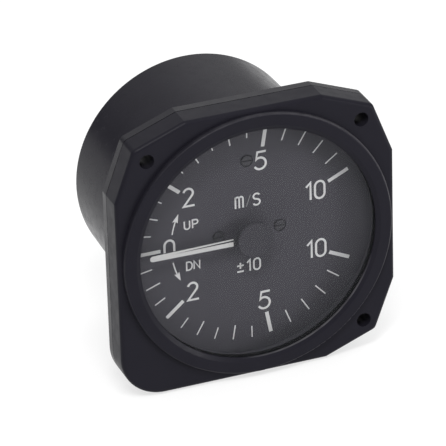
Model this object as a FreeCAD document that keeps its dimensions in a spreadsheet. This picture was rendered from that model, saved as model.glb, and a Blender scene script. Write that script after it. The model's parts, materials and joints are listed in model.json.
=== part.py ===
import FreeCAD, Part
import math
import os
import re
import Sketcher

# An aircraft variometer (vertical speed indicator) for a round 3 1/8 inch panel hole.
# Frame: millimetres, origin on the instrument's axis in the flange's front face, which is the
# face that lies against the panel. +X is the right of the dial, +Z is up, +Y points to the rear.
# "Radius" sizes are measured from the instrument's axis unless their row says otherwise.

SIZES = [
    # Flange outline, shared by the bezel frame, the seam gasket and the case
    ("flange_margin", 1.3, "from the pilot's edge out to the sides of the flange"),
    ("side_cut", 21.0, "how much a cut corner takes off the end of each side"),
    ("corner_margin", 3.77, "x and z from a panel screw to the blunt point beside it"),
    ("corner_apex_round", 2.0, "rounding of the blunt points"),
    ("plain_corner_round", 12.5, "round of the lower left corner, which has no hole"),
    ("mount_hole_margin", 4.75, "from the pilot's edge out to the centres of the panel screws"),
    ("mount_hole_radius", 2.1, "panel screw holes, own radius"),

    # Bezel frame and what it holds
    ("bezel_depth", 7.25, "flange part of the bezel frame, front to back"),
    ("front_edge_round", 1.2, "rounding round the flange's front edge"),
    ("pilot_radius", 39.7, "round pilot that fits the panel hole"),
    ("pilot_height", 1.8, "how far the pilot stands out of the flange"),
    ("pilot_edge_round", 0.6, "rounding of the pilot's outer edge"),
    ("rim_width", 4.8, "from the pilot's edge in to the clear window"),
    ("lip_bevel", 1.3, "width of the bevel round the window"),
    ("lip_land", 0.3, "straight land at the bottom of the bevel"),
    ("glass_recess", 0.8, "how far the glass's front stands ahead of the flange face"),
    ("glass_thickness", 1.6, "cover glass"),
    ("glass_overlap", 1.6, "how far the cover glass reaches behind the lip"),
    ("glass_play", 0.2, "gap round the cover glass"),
    ("glass_gasket_thickness", 0.3, "ring gasket behind the glass"),
    ("retaining_ring_thickness", 0.8, "ring that backs the gasket"),
    ("cavity_step", 1.3, "step from the glass's bore out to the bore behind it"),
    ("ring_play", 0.1, "gap round the rings in the bezel's bore"),
    ("spacer_wall", 0.6, "wall of the ring between the retaining ring and the dial"),

    # Dial
    ("dial_inset", 0.95, "how far the dial's painted face lies inside the bezel frame's rear"),
    ("dial_thickness", 0.7, "dial plate"),
    ("dial_play", 0.4, "gap round the dial in the bezel's bore"),
    ("dial_centre_hole", 1.6, "hole for the hand staff, own radius"),
    ("dial_screw_side", 9.1, "x of the two side screws, left and right"),
    ("dial_screw_side_height", 0.65, "z of the two side screws"),
    ("dial_screw_top_shift", -0.3, "x of the top screw"),
    ("dial_screw_top_height", 22.5, "z of the top screw"),
    ("dial_screw_radius", 0.7, "shank, own radius"),
    ("dial_screw_head_radius", 1.5, "head, own radius"),
    ("dial_screw_head_height", 0.55, "head"),
    ("dial_screw_slot", 0.4, "width of the slot in the head"),
    ("dial_screw_sink", 0.35, "depth of the round recess that takes the head"),
    ("dial_screw_rim", 0.45, "gap round the head in its recess"),
    ("dial_post_radius", 1.7, "posts behind the dial, own radius"),

    # Case, in two pieces: the square flange and the drum behind it
    ("seam_gasket_thickness", 0.25, "gasket between the bezel frame and the case"),
    ("seam_gasket_inset", 0.35, "how far the gasket stays inside the outline"),
    ("seam_gasket_play", 0.2, "gap between the gasket and the case's spigot and screws"),
    ("case_flange_thickness", 2.7, "flange of the case"),
    ("spigot_play", 0.15, "gap between the flange's spigot and the bezel's bore"),
    ("spigot_wall", 3.45, "wall of the spigot, round the mechanism's front plate"),
    ("drum_step", 0.8, "how far the drum's front reaches out past the flange's bore"),
    ("drum_taper", 0.9, "how much less the drum's radius is at the back"),
    ("drum_rear_round", 1.2, "rounding of the drum's back edge"),
    ("drum_wall", 3.4, "wall of the drum at the front, which seats the front plate"),
    ("drum_rear_wall", 3.1, "wall of the drum at the back"),
    ("case_floor", 3.0, "thickness of the case's back"),
    ("bezel_screw_inset", 4.5, "from the flange's sides to the screws that hold the case"),
    ("bezel_screw_drop", 7.43, "the same screws, from a panel screw towards the middle in z"),
    ("bezel_screw_radius", 1.0, "shank, own radius"),
    ("bezel_screw_reach", 4.2, "how deep the shanks go into the bezel frame"),
    ("bezel_screw_head_radius", 1.9, "head, own radius"),
    ("bezel_screw_head_height", 1.3, "head"),
    ("screw_slot_depth", 0.35, "depth of the slots in the screw heads"),
    ("screw_slot_width", 0.5, "width of the slots in the larger heads"),
    ("screw_play", 0.1, "gap between a screw and a hole it passes through"),
    ("cut_run", 1.0, "how far a cut runs past the face that it opens"),

    # Static port and the block inside the case's back
    ("port_shank_radius", 2.5, "screwed shank of the nipple"),
    ("port_shank_length", 7.0, "shank, from the case's back inwards"),
    ("port_collar_radius", 4.4, "collar that presses the seal, across the corners of its hexagon"),
    ("port_collar_height", 3.0, "collar"),
    ("port_seal_thickness", 0.8, "flat seal between collar and case"),
    ("port_seal_radius", 3.7, "the same seal"),
    ("port_spout_radius", 2.3, "spout between its barbs"),
    ("port_barb_radius", 3.1, "spout over its barbs"),
    ("port_barb_length", 3.2, "length of one barb"),
    ("port_barb_count", 3, "barbs on the spout"),
    ("port_bore_radius", 1.3, "bore through the nipple"),
    ("base_flange_margin", 2.6, "from the circle of base screws out to the edge of the base"),
    ("base_flange_thickness", 2.0, "flange of the capsule base"),
    ("base_column_radius", 4.0, "column of the capsule base"),
    ("base_screw_room", 2.8, "from the port's collar out to the circle of base screws"),
    ("base_screw_radius", 1.0, "shank, own radius"),
    ("base_screw_head_radius", 1.9, "head, own radius"),
    ("base_screw_head_height", 1.2, "head"),

    # Capsule, a stack of two corrugated discs on the case's axis
    ("capsule_room", 9.2, "from the discs' edge out to the drum's wall at the back"),
    ("capsule_gap", 10.0, "rocking shaft to the seam between the discs, in y"),
    ("capsule_stand", 17.1, "the same seam to the inner face of the case's back"),
    ("capsule_bulge", 1.9, "from the seam to each diaphragm's centre"),
    ("diaphragm_thickness", 0.25, "sheet of the diaphragms"),
    ("diaphragm_centre_radius", 4.0, "flat centre of each diaphragm"),
    ("diaphragm_rim_width", 1.6, "flat rim of each diaphragm"),
    ("corrugation_depth", 0.9, "trough to crest of the corrugations"),
    ("corrugation_count", 5, "corrugations between centre and rim"),
    ("diaphragm_hole_radius", 0.9, "hole in the rear diaphragm's centre, own radius"),
    ("capsule_seam_width", 0.6, "soldered seam ring outside the diaphragms"),
    ("capsule_seam_height", 1.0, "soldered seam ring"),
    ("boss_flange_radius", 3.2, "flange of the front post and of the rear boss"),
    ("boss_flange_thickness", 0.6, "the same flanges"),
    ("boss_stem_radius", 1.2, "stem of the rear boss"),
    ("boss_stem_depth", 3.5, "how deep the stem goes into the base"),
    ("boss_bore_radius", 0.5, "bore of the rear boss"),
    ("column_gap", 1.6, "from the rear boss's flange to the column"),
    ("post_radius", 1.0, "front post that follows the front diaphragm"),
    ("yoke_half_width", 1.5, "half of the yoke on the front post, in x"),
    ("yoke_half_height", 1.9, "half of the yoke, in z"),
    ("yoke_wall", 1.0, "yoke in front of and behind its slot"),
    ("capillary_set", 6.1, "capillary tube's axis to the inner face of the case's back"),
    ("capillary_radius", 1.0, "glass capillary tube"),
    ("capillary_bore", 0.25, "bore of the capillary tube"),
    ("capillary_length", 17.0, "glass capillary tube"),
    ("ferrule_radius", 1.9, "ferrule that carries the capillary tube"),
    ("ferrule_length", 5.0, "ferrule outside the column"),
    ("ferrule_depth", 1.6, "ferrule inside the column"),

    # Mechanism plates
    ("plate_thickness", 1.2, "both plates"),
    ("plate_play", 0.1, "gap round the front plate in its seat"),
    ("plate_gap", 7.8, "distance between the plates"),
    ("rear_plate_room", 2.5, "from the rear plate's edge out to the drum's wall"),
    ("plate_window_radius", 5.5, "lightening holes in the plates, own radius"),
    ("plate_window_inset", 9.3, "from the rear plate's edge in to the circle of lightening holes"),
    ("pillar_radius", 1.8, "pillars between the plates"),
    ("pillar_inset", 5.7, "from the rear plate's edge in to the circle of pillars"),
    ("pillar_screw_radius", 0.8, "shank, own radius"),
    ("pillar_screw_reach", 3.0, "shank inside the pillar"),
    ("pillar_screw_head_radius", 1.5, "head, own radius"),
    ("pillar_screw_head_height", 0.7, "head"),
    ("seat_screw_inset", 1.3, "from the flange's bore in to the screws that hold the front plate"),
    ("seat_screw_radius", 0.5, "shank, own radius"),
    ("seat_screw_reach", 4.0, "shank inside the drum's wall"),
    ("seat_screw_head_radius", 1.0, "head, own radius"),
    ("seat_screw_head_height", 0.6, "head"),

    # Hand staff, pinion, hairspring and pointer
    ("pivot_play", 0.05, "gap round a pivot in its bush"),
    ("front_pivot_radius", 0.5, "front pivots of both staffs"),
    ("rear_pivot_radius", 0.35, "rear pivots of both staffs"),
    ("staff_radius", 0.8, "both staffs between the plates"),
    ("shoulder_gap", 0.2, "end play between a staff's shoulder and its bush"),
    ("bush_radius", 1.5, "bushes in the plates"),
    ("pinion_teeth", 12, "teeth on the pinion"),
    ("sector_full_teeth", 120, "teeth on the sector's full circle"),
    ("sector_teeth", 13, "teeth on the sector"),
    ("pinion_gap", 1.5, "from the front plate back to the pinion"),
    ("pinion_width", 2.2, "pinion"),
    ("collet_radius", 1.5, "collet that holds the hairspring"),
    ("collet_gap", 1.2, "from the pinion back to the collet"),
    ("collet_width", 1.4, "collet"),
    ("hairspring_strip", 0.12, "thickness of the hairspring's strip"),
    ("hairspring_height", 0.6, "height of the strip along the axis"),
    ("hairspring_pitch", 1.1, "distance from turn to turn"),
    ("hairspring_turns", 4, "turns"),
    ("stud_radius", 0.5, "stud that holds the hairspring's outer end"),
    ("pointer_thickness", 0.4, "pointer blade"),
    ("pointer_tip_gap", 4.3, "from the pointer's tip out to the clear window"),
    ("pointer_root_half", 1.2, "half of the blade's width at its root"),
    ("pointer_tip_half", 0.85, "half of the blade's width near the tip"),
    ("pointer_point", 0.5, "length of the chamfered tip"),
    ("pointer_disc_radius", 4.5, "round middle of the pointer, under the cap"),
    ("pointer_paint_start", 6.1, "where the blade's pale face starts"),
    ("crease_root_half", 0.27, "half of the crease's width at the root"),
    ("crease_offset", 0.5, "how far the crease lies above the blade's middle at the root"),
    ("crease_tip_gap", 5.1, "from the pointer's tip in to the crease's end"),
    ("crease_depth", 0.2, "depth of the crease in the blade"),
    ("pointer_bush_radius", 1.4, "bush between pointer and staff"),
    ("pointer_bush_length", 2.0, "the same bush"),
    ("cap_radius", 5.3, "cap over the pointer's middle"),
    ("cap_gap", 0.45, "from the glass back to the cap"),
    ("cap_height", 1.5, "from the cap's front back to the pointer"),
    ("cap_edge_round", 0.5, "rounding of the cap's front edge"),
    ("cap_lift", 0.1, "gap between the cap's overhang and the blade"),

    # Sector, its lever and its stops
    ("sector_pivot_z", -8.0, "z of the sector's staff and of the rocking shaft"),
    ("sector_inset", 9.5, "how much less the distance of the staffs is than the rear plate's radius"),
    ("sector_set", 0.7, "from the pinion's front face back to the sector's"),
    ("sector_thickness", 0.8, "sector plate"),
    ("sector_half_angle", 20.0, "half of the sector plate's angle, in degrees"),
    ("sector_rim", 2.0, "rim under the teeth"),
    ("sector_spoke_angle", 5.0, "spokes along both edges, in degrees"),
    ("sector_hub_radius", 2.6, "hub of the sector"),
    ("sector_travel", 15.5, "swing each way, in degrees"),
    ("lever_gap", 0.8, "from the sector back to the lever"),
    ("lever_thickness", 0.8, "lever on the sector's staff"),
    ("lever_reach", 6.0, "sector staff to the output rod, in x"),
    ("lever_half_width", 1.0, "half of the lever's width"),
    ("lever_slot_play", 0.15, "gap beside the output rod in the lever's fork"),
    ("stop_pin_radius", 0.5, "stop pins"),
    ("stop_pin_circle", 10.0, "distance of the stop pins from the sector's staff"),
    ("stop_pin_play", 0.1, "gap left at a stop at the end of the travel"),

    # Rocking shaft behind the rear plate
    ("rocking_stand", 4.8, "from the rear plate back to the rocking shaft's axis"),
    ("rocking_shaft_radius", 0.8, "rocking shaft"),
    ("rocking_left", -6.0, "x of the left ear's middle"),
    ("rocking_overhang", 2.9, "from the output rod out to the right ear's middle, in x"),
    ("rocking_pivot_radius", 0.4, "pivots of the rocking shaft"),
    ("ear_thickness", 1.0, "ears of the bracket"),
    ("ear_half_width", 1.6, "half of the ears' width"),
    ("ear_foot_width", 3.6, "foot of each ear on the rear plate, in x"),
    ("ear_foot_height", 3.6, "foot of each ear, in z"),
    ("ear_screw_radius", 0.6, "shank, own radius"),
    ("ear_screw_head_radius", 1.2, "head, own radius"),
    ("ear_screw_head_height", 0.7, "head"),
    ("drive_arm_gap", 0.4, "between the yoke and the drive arm"),
    ("drive_arm_thickness", 0.7, "drive arm"),
    ("drive_pin_radius", 0.35, "drive pin"),
    ("drive_pin_play", 0.15, "gap round the drive pin in the yoke, the open pivot"),
    ("arm_hub_radius", 1.7, "hubs of both arms"),
    ("output_hub_width", 1.6, "hub of the output arm"),
    ("output_rod_radius", 0.35, "rod that turns the lever"),
    ("output_rod_overhang", 0.8, "how far the rod stands past the lever"),
    ("rocking_travel", 9.77, "swing of the rocking shaft each way, in degrees"),
    ("window_play", 0.6, "room round the output rod in the rear plate"),
]

ALIASES = {row[0] for row in SIZES}

# Tooth form, in modules: depth below and height above the pitch circle, half widths
TOOTH_ROOT = 1.15
TOOTH_TIP = 0.85
TOOTH_HALF_FOOT = 0.95
TOOTH_HALF_TIP = 0.32

# How far a tooth's foot is sunk in the rim, in modules
TOOTH_SINK = 0.2

# Share of an inset by which the flange's blunt points move in
APEX_INSET = 0.8

# Points on each turn of the hairspring
SPIRAL_STEPS = 12

# Angles of the pillars and of the lightening holes, from +X towards +Z
PILLAR_ANGLES = (36.4, 143.6, 216.4, 290.7)
WINDOW_ANGLES = (90, 180, 253.5)

# Places worked out from the sizes above
GLASS_FRONT = "(-glass_recess)"
GLASS_REAR = "(glass_thickness - glass_recess)"
GASKET_REAR = f"({GLASS_REAR} + glass_gasket_thickness)"
RETAINER_REAR = f"({GASKET_REAR} + retaining_ring_thickness)"
RING_RADIUS = "(cavity_radius - ring_play)"
DIAL_REAR = "(dial_front + dial_thickness)"
CASE_FRONT = "(bezel_depth + seam_gasket_thickness)"
CASE_FLANGE_REAR = f"({CASE_FRONT} + case_flange_thickness)"
CASE_FLOOR_FACE = "(case_depth - case_floor)"
FRONT_PLATE_REAR = CASE_FLANGE_REAR
FRONT_PLATE_FRONT = f"({FRONT_PLATE_REAR} - plate_thickness)"
REAR_PLATE_FRONT = f"({FRONT_PLATE_REAR} + plate_gap)"
REAR_PLATE_REAR = f"({REAR_PLATE_FRONT} + plate_thickness)"
PINION_PITCH = "(gear_module * pinion_teeth / 2)"
SECTOR_PITCH = "(gear_module * sector_full_teeth / 2)"
SECTOR_X = "sqrt(staff_distance ^ 2 - sector_pivot_z ^ 2)"
OUTPUT_X = f"({SECTOR_X} + lever_reach)"
LEVER_REAR = "(lever_front + lever_thickness)"
POINTER_REAR = "(pointer_front + pointer_thickness)"
FRONT_DIAPHRAGM = "(capsule_plane - capsule_bulge)"
REAR_DIAPHRAGM = "(capsule_plane + capsule_bulge)"
BOSS_REAR = f"({REAR_DIAPHRAGM} + boss_flange_thickness)"
COLUMN_FRONT = f"({BOSS_REAR} + column_gap)"
BASE_FLANGE_FRONT = f"({CASE_FLOOR_FACE} - base_flange_thickness)"

# Sizes that follow from others. From the pilot outwards, inwards and back to the mechanism, and
# from the glass and the flange back to the case's rear.
FOLLOWING = {
    "flange_half": "pilot_radius + flange_margin",
    "side_straight_half": "flange_half - side_cut",
    "mount_hole_offset": "(pilot_radius + mount_hole_margin) / sqrt(2)",
    "corner_apex": "mount_hole_offset + corner_margin",
    "window_radius": "pilot_radius - rim_width",
    "lip_front_radius": "window_radius + lip_bevel",
    "glass_radius": "window_radius + glass_overlap",
    "cavity_radius": "glass_radius + glass_play + cavity_step",
    "dial_front": "bezel_depth - dial_inset",
    "dial_radius": "cavity_radius - dial_play",
    "bezel_screw_x": "flange_half - bezel_screw_inset",
    "bezel_screw_z": "mount_hole_offset - bezel_screw_drop",
    "plate_seat_radius": "cavity_radius - spigot_play - spigot_wall",
    "seat_screw_circle": "plate_seat_radius - seat_screw_inset",
    "drum_front_radius": "plate_seat_radius + drum_step",
    "drum_rear_radius": "drum_front_radius - drum_taper",
    "chamber_front_radius": "drum_front_radius - drum_wall",
    "chamber_rear_radius": "drum_rear_radius - drum_rear_wall",
    "rear_plate_radius": "chamber_front_radius - rear_plate_room",
    "plate_window_circle": "rear_plate_radius - plate_window_inset",
    "pillar_circle": "rear_plate_radius - pillar_inset",
    "staff_distance": "rear_plate_radius - sector_inset",
    "gear_module": "2 * staff_distance / (pinion_teeth + sector_full_teeth)",
    "cap_front": f"{GLASS_REAR} + cap_gap",
    "pointer_front": "cap_front + cap_height",
    "pointer_length": "window_radius - pointer_tip_gap",
    "crease_end": "pointer_length - crease_tip_gap",
    "pinion_front": f"{FRONT_PLATE_REAR} + pinion_gap",
    "collet_front": "pinion_front + pinion_width + collet_gap",
    "sector_front": "pinion_front + sector_set",
    "lever_front": "sector_front + sector_thickness + lever_gap",
    "rocking_plane": f"{REAR_PLATE_REAR} + rocking_stand",
    "rocking_right": f"{OUTPUT_X} + rocking_overhang",
    "drive_arm_reach": "-sector_pivot_z",
    "drive_arm_x": "yoke_half_width + drive_arm_gap",
    "capsule_radius": "chamber_rear_radius - capsule_room",
    "capsule_plane": "rocking_plane + capsule_gap",
    "case_depth": "capsule_plane + capsule_stand + case_floor",
    "capillary_plane": f"{CASE_FLOOR_FACE} - capillary_set",
    "base_screw_circle": "port_collar_radius + base_screw_room",
    "base_flange_radius": "base_screw_circle + base_flange_margin",
}

MOUNT_SCREWS = [("mount_hole_offset", "mount_hole_offset"),
                ("-mount_hole_offset", "mount_hole_offset"),
                ("mount_hole_offset", "-mount_hole_offset")]
BEZEL_SCREWS = [("bezel_screw_x", "bezel_screw_z"), ("-bezel_screw_x", "bezel_screw_z"),
                ("bezel_screw_x", "-bezel_screw_z"), ("-bezel_screw_x", "-bezel_screw_z")]
DIAL_SCREWS = [("dial_screw_side", "dial_screw_side_height"),
               ("-dial_screw_side", "dial_screw_side_height"),
               ("dial_screw_top_shift", "dial_screw_top_height")]
STAFFS = [("0", "0"), (SECTOR_X, "sector_pivot_z")]

doc = FreeCAD.newDocument("Variometer")
sheet = doc.addObject("Spreadsheet::Sheet", "Sizes")
for row, (alias, number, meaning) in enumerate(SIZES, start=1):
    sheet.set(f"A{row}", meaning)
    sheet.set(f"B{row}", str(number))
    sheet.setAlias(f"B{row}", alias)
doc.recompute()

nodes = []


# Sizes and document objects

def bound(text):
    """The text of a size, with following sizes written out and each alias as a cell of the sheet."""
    def written(word):
        name = word[0]
        if name in FOLLOWING:
            return f"({bound(FOLLOWING[name])})"
        return f"Sizes.{name}" if name in ALIASES else name
    return re.sub(r"[a-z_]+", written, text)


def size(text):
    """The number that a size gives now."""
    return float(sheet.evalExpression(bound(text)))


def polar(radius, degrees):
    """The two coordinates of a point on a circle round the axis."""
    return (f"({radius}) * cos({degrees})", f"({radius}) * sin({degrees})")


def new_node(kind, label):
    """A sub-part of the instrument, which is written to its own file."""
    piece = doc.addObject(kind, label)
    piece.Label = label
    nodes.append(piece)
    return piece


def place(piece, x="0", y="0", z="0"):
    """Sets a sub-part's Placement from sizes."""
    for axis, text in (("x", x), ("y", y), ("z", z)):
        piece.setExpression(f"Placement.Base.{axis}", bound(text))


def new_sketch(body, name, plane, offset="0"):
    """A sketch on one of the body's own planes, moved along the plane's normal."""
    sketch = body.newObject("Sketcher::SketchObject", f"{body.Name}_{name}_sketch")
    support = [feature for feature in body.Origin.OriginFeatures if feature.Role == plane][0]
    sketch.AttachmentSupport = [(support, "")]
    sketch.MapMode = "FlatFace"
    sketch.setExpression("AttachmentOffset.Base.z", bound(offset))
    return sketch


def hold(sketch, kind, text, *elements):
    """A dimension of the sketch, bound to a size."""
    number = sketch.addConstraint(Sketcher.Constraint(kind, *elements, size(text)))
    sketch.setExpression(f"Constraints[{number}]", bound(text))


def outline(sketch, points):
    """A closed outline of straight lines through points given as pairs of sizes."""
    first = sketch.GeometryCount
    count = len(points)
    corners = [FreeCAD.Vector(size(across), size(along), 0) for across, along in points]
    for index, corner in enumerate(corners):
        sketch.addGeometry(Part.LineSegment(corner, corners[(index + 1) % count]), False)
    for index, (across, along) in enumerate(points):
        line = first + index
        sketch.addConstraint(Sketcher.Constraint("Coincident", line, 2, first + (index + 1) % count, 1))
        hold(sketch, "DistanceX", across, -1, 1, line, 1)
        hold(sketch, "DistanceY", along, -1, 1, line, 1)


def circle(sketch, across, along, radius):
    """A circle whose centre and radius are sizes."""
    centre = FreeCAD.Vector(size(across), size(along), 0)
    number = sketch.addGeometry(Part.Circle(centre, FreeCAD.Vector(0, 0, 1), size(radius)), False)
    if (across, along) == ("0", "0"):
        sketch.addConstraint(Sketcher.Constraint("Coincident", number, 3, -1, 1))
    else:
        hold(sketch, "DistanceX", across, -1, 1, number, 3)
        hold(sketch, "DistanceY", along, -1, 1, number, 3)
    hold(sketch, "Radius", radius, number)


def rectangle(sketch, left, right, low, high):
    """A rectangle between four sizes."""
    outline(sketch, [(left, low), (right, low), (right, high), (left, high)])


def annular_sector(sketch, inner, outer, half_angle):
    """The area between two radii, to the same angle on both sides of the X axis."""
    half = math.radians(size(half_angle))
    arcs = []
    for radius in (outer, inner):
        full = Part.Circle(FreeCAD.Vector(0, 0, 0), FreeCAD.Vector(0, 0, 1), size(radius))
        arc = sketch.addGeometry(Part.ArcOfCircle(full, -half, half), False)
        across, along = polar(radius, half_angle)
        sketch.addConstraint(Sketcher.Constraint("Coincident", arc, 3, -1, 1))
        hold(sketch, "DistanceX", across, -1, 1, arc, 1)
        hold(sketch, "DistanceY", f"-({along})", -1, 1, arc, 1)
        hold(sketch, "DistanceY", along, -1, 1, arc, 2)
        arcs.append((arc, size(radius)))
    (outer_arc, outer_radius), (inner_arc, inner_radius) = arcs
    for end, turn_angle in ((1, -half), (2, half)):
        ray = FreeCAD.Vector(math.cos(turn_angle), math.sin(turn_angle), 0)
        line = sketch.addGeometry(Part.LineSegment(ray * outer_radius, ray * inner_radius), False)
        sketch.addConstraint(Sketcher.Constraint("Coincident", line, 1, outer_arc, end))
        sketch.addConstraint(Sketcher.Constraint("Coincident", line, 2, inner_arc, end))


# Features. Y is the depth: a pad or a pocket runs from one depth back to another.

def deep_feature(kind, body, name, front, back, draw, reverse):
    sketch = new_sketch(body, name, "XZ_Plane", f"-({front})")
    draw(sketch)
    feature = body.newObject(kind, f"{body.Name}_{name}")
    feature.Profile = sketch
    feature.Reversed = reverse
    feature.setExpression("Length", bound(f"({back}) - ({front})"))
    sketch.Visibility = False
    return feature


def pad(body, name, front, back, draw):
    """Material between two depths, with the outline that draw puts in the sketch."""
    return deep_feature("PartDesign::Pad", body, name, front, back, draw, True)


def pocket(body, name, front, back, draw):
    """A cut between two depths; the smaller volume shows that it met the solid."""
    doc.recompute()
    before = body.Tip.Shape.Volume
    feature = deep_feature("PartDesign::Pocket", body, name, front, back, draw, False)
    doc.recompute()
    if body.Tip.Shape.Volume >= before:
        raise ValueError(f"{feature.Name} cuts nothing")
    return feature


def side_feature(kind, body, name, left, right, draw, reverse):
    sketch = new_sketch(body, name, "YZ_Plane", right if reverse else left)
    draw(sketch)
    feature = body.newObject(kind, f"{body.Name}_{name}")
    feature.Profile = sketch
    feature.setExpression("Length", bound(f"({right}) - ({left})"))
    sketch.Visibility = False
    return feature


def side_pad(body, name, left, right, draw):
    """Material between two places along X, with an outline in y and z."""
    return side_feature("PartDesign::Pad", body, name, left, right, draw, False)


def side_pocket(body, name, left, right, draw):
    """A cut between two places along X; the smaller volume shows that it met the solid."""
    doc.recompute()
    before = body.Tip.Shape.Volume
    feature = side_feature("PartDesign::Pocket", body, name, left, right, draw, True)
    doc.recompute()
    if body.Tip.Shape.Volume >= before:
        raise ValueError(f"{feature.Name} cuts nothing")
    return feature


def turned_feature(kind, body, name, points, axis="V_Axis"):
    sketch = new_sketch(body, name, "XY_Plane")
    outline(sketch, points)
    feature = body.newObject(kind, f"{body.Name}_{name}")
    feature.Profile = sketch
    feature.ReferenceAxis = (sketch, [axis])
    feature.Angle = 360.0
    sketch.Visibility = False
    return feature


def turn(body, name, points, axis="V_Axis"):
    """Material turned round the body's Y axis, or its X axis, from points (across, along)."""
    return turned_feature("PartDesign::Revolution", body, name, points, axis)


def groove(body, name, points, axis="V_Axis"):
    """A turned cut; the smaller volume shows that it met the solid."""
    doc.recompute()
    before = body.Tip.Shape.Volume
    feature = turned_feature("PartDesign::Groove", body, name, points, axis)
    doc.recompute()
    if body.Tip.Shape.Volume >= before:
        raise ValueError(f"{feature.Name} cuts nothing")
    return feature


def ring_points(inner, outer, front, back):
    """The section of a plain ring."""
    return [(inner, front), (outer, front), (outer, back), (inner, back)]


def round_edges(body, name, radius, chosen):
    """A fillet on the edges of the body that the function chosen picks."""
    doc.recompute()
    base = body.Tip
    names = [f"Edge{number}" for number, edge in enumerate(base.Shape.Edges, start=1) if chosen(edge)]
    fillet = body.newObject("PartDesign::Fillet", f"{body.Name}_{name}")
    fillet.Base = (base, names)
    fillet.setExpression("Radius", bound(radius))
    doc.recompute()
    return fillet


def repeat_round(body, name, feature, count, angle, reverse=False):
    """Copies of a feature round the body's Y axis, first to last over the angle in degrees."""
    pattern = body.newObject("PartDesign::PolarPattern", f"{body.Name}_{name}")
    pattern.Originals = [feature]
    pattern.Axis = body_axis(body, "Y_Axis")
    pattern.Reversed = reverse
    pattern.setExpression("Angle", bound(angle))
    pattern.setExpression("Occurrences", bound(count))
    body.Tip = pattern
    pattern.touch()
    doc.recompute()
    return pattern


def body_axis(body, role):
    """One of the body's own axes, for a pattern."""
    return ([feature for feature in body.Origin.OriginFeatures if feature.Role == role][0], [""])


def near(value, target):
    return abs(value - target) < 0.01


def is_round_edge(edge, radius, depth):
    """True for a full circle of this radius round the Y axis at this depth."""
    curve = edge.Curve
    return (isinstance(curve, Part.Circle) and near(curve.Radius, radius)
            and near(curve.Center.y, depth) and near(abs(curve.Axis.y), 1.0)
            and near(curve.Center.x, 0.0) and near(curve.Center.z, 0.0))


def stands_at(edge, x, z):
    """True for a straight edge along Y at this place."""
    ends = [vertex.Point for vertex in edge.Vertexes]
    return len(ends) == 2 and all(near(end.x, x) and near(end.z, z) for end in ends)


# Flange outline

def flange_points(inset="0"):
    """Square with three cut corners and one square corner, which is rounded later."""
    half = f"flange_half - {inset}"
    straight = "side_straight_half"
    apex = f"corner_apex - {APEX_INSET} * {inset}"
    return [(straight, half), (apex, apex), (half, straight),
            (half, f"-({straight})"), (apex, f"-({apex})"), (straight, f"-({half})"),
            (f"-({half})", f"-({half})"),
            (f"-({half})", straight), (f"-({apex})", apex), (f"-({straight})", half)]


def round_flange_corners(body, inset="0"):
    """Rounds the blunt points and the plain corner of a flange."""
    apex = size(f"corner_apex - {APEX_INSET} * {inset}")
    half = size(f"flange_half - {inset}")
    round_edges(body, "apex_round", "corner_apex_round",
                lambda edge: any(stands_at(edge, x, z) for x, z in
                                 ((apex, apex), (apex, -apex), (-apex, apex))))
    round_edges(body, "corner_round", "plain_corner_round", lambda edge: stands_at(edge, -half, -half))


def circles(places, radius):
    """A function that draws the same circle at several places."""
    def draw(sketch):
        for across, along in places:
            circle(sketch, across, along, radius)
    return draw


def disc(radius):
    """A function that draws one circle round the origin."""
    return circles([("0", "0")], radius)


# Bezel frame and what it clamps

def make_bezel_frame():
    """Square frame with the round pilot, the bevelled lip and the bores for the glass."""
    body = new_node("PartDesign::Body", "bezel_frame")
    pad(body, "flange", "0", "bezel_depth", lambda sketch: outline(sketch, flange_points()))
    round_flange_corners(body)
    round_edges(body, "front_round", "front_edge_round",
                lambda edge: all(near(vertex.Point.y, 0.0) for vertex in edge.Vertexes))
    turn(body, "pilot", ring_points("0", "pilot_radius", "-pilot_height", "front_edge_round"))
    round_edges(body, "pilot_round", "pilot_edge_round",
                lambda edge: is_round_edge(edge, size("pilot_radius"), size("-pilot_height")))
    bore = "(glass_radius + glass_play)"
    front = "(-pilot_height - cut_run)"
    back = "(bezel_depth + cut_run)"
    groove(body, "bores", [("0", front), ("lip_front_radius", front), ("lip_front_radius", "-pilot_height"),
                           ("window_radius", f"{GLASS_FRONT} - lip_land"), ("window_radius", GLASS_FRONT),
                           (bore, GLASS_FRONT), (bore, GLASS_REAR), ("cavity_radius", GLASS_REAR),
                           ("cavity_radius", back), ("0", back)])
    pocket(body, "mount_holes", "-cut_run", back, circles(MOUNT_SCREWS, "mount_hole_radius"))
    pocket(body, "screw_holes", "bezel_depth - bezel_screw_reach", back,
           circles(BEZEL_SCREWS, "bezel_screw_radius"))


def make_glass_stack():
    """Cover glass, its ring gasket, the retaining ring and the spacer ring down to the dial."""
    glass = new_node("PartDesign::Body", "cover_glass")
    pad(glass, "disc", GLASS_FRONT, GLASS_REAR, disc("glass_radius"))
    gasket = new_node("PartDesign::Body", "glass_gasket")
    turn(gasket, "ring", ring_points("window_radius", RING_RADIUS, GLASS_REAR, GASKET_REAR))
    retainer = new_node("PartDesign::Body", "glass_retaining_ring")
    turn(retainer, "ring", ring_points("window_radius", RING_RADIUS, GASKET_REAR, RETAINER_REAR))
    spacer = new_node("PartDesign::Body", "dial_spacer_ring")
    turn(spacer, "ring", ring_points(f"{RING_RADIUS} - spacer_wall", RING_RADIUS,
                                     RETAINER_REAR, "dial_front"))


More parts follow.
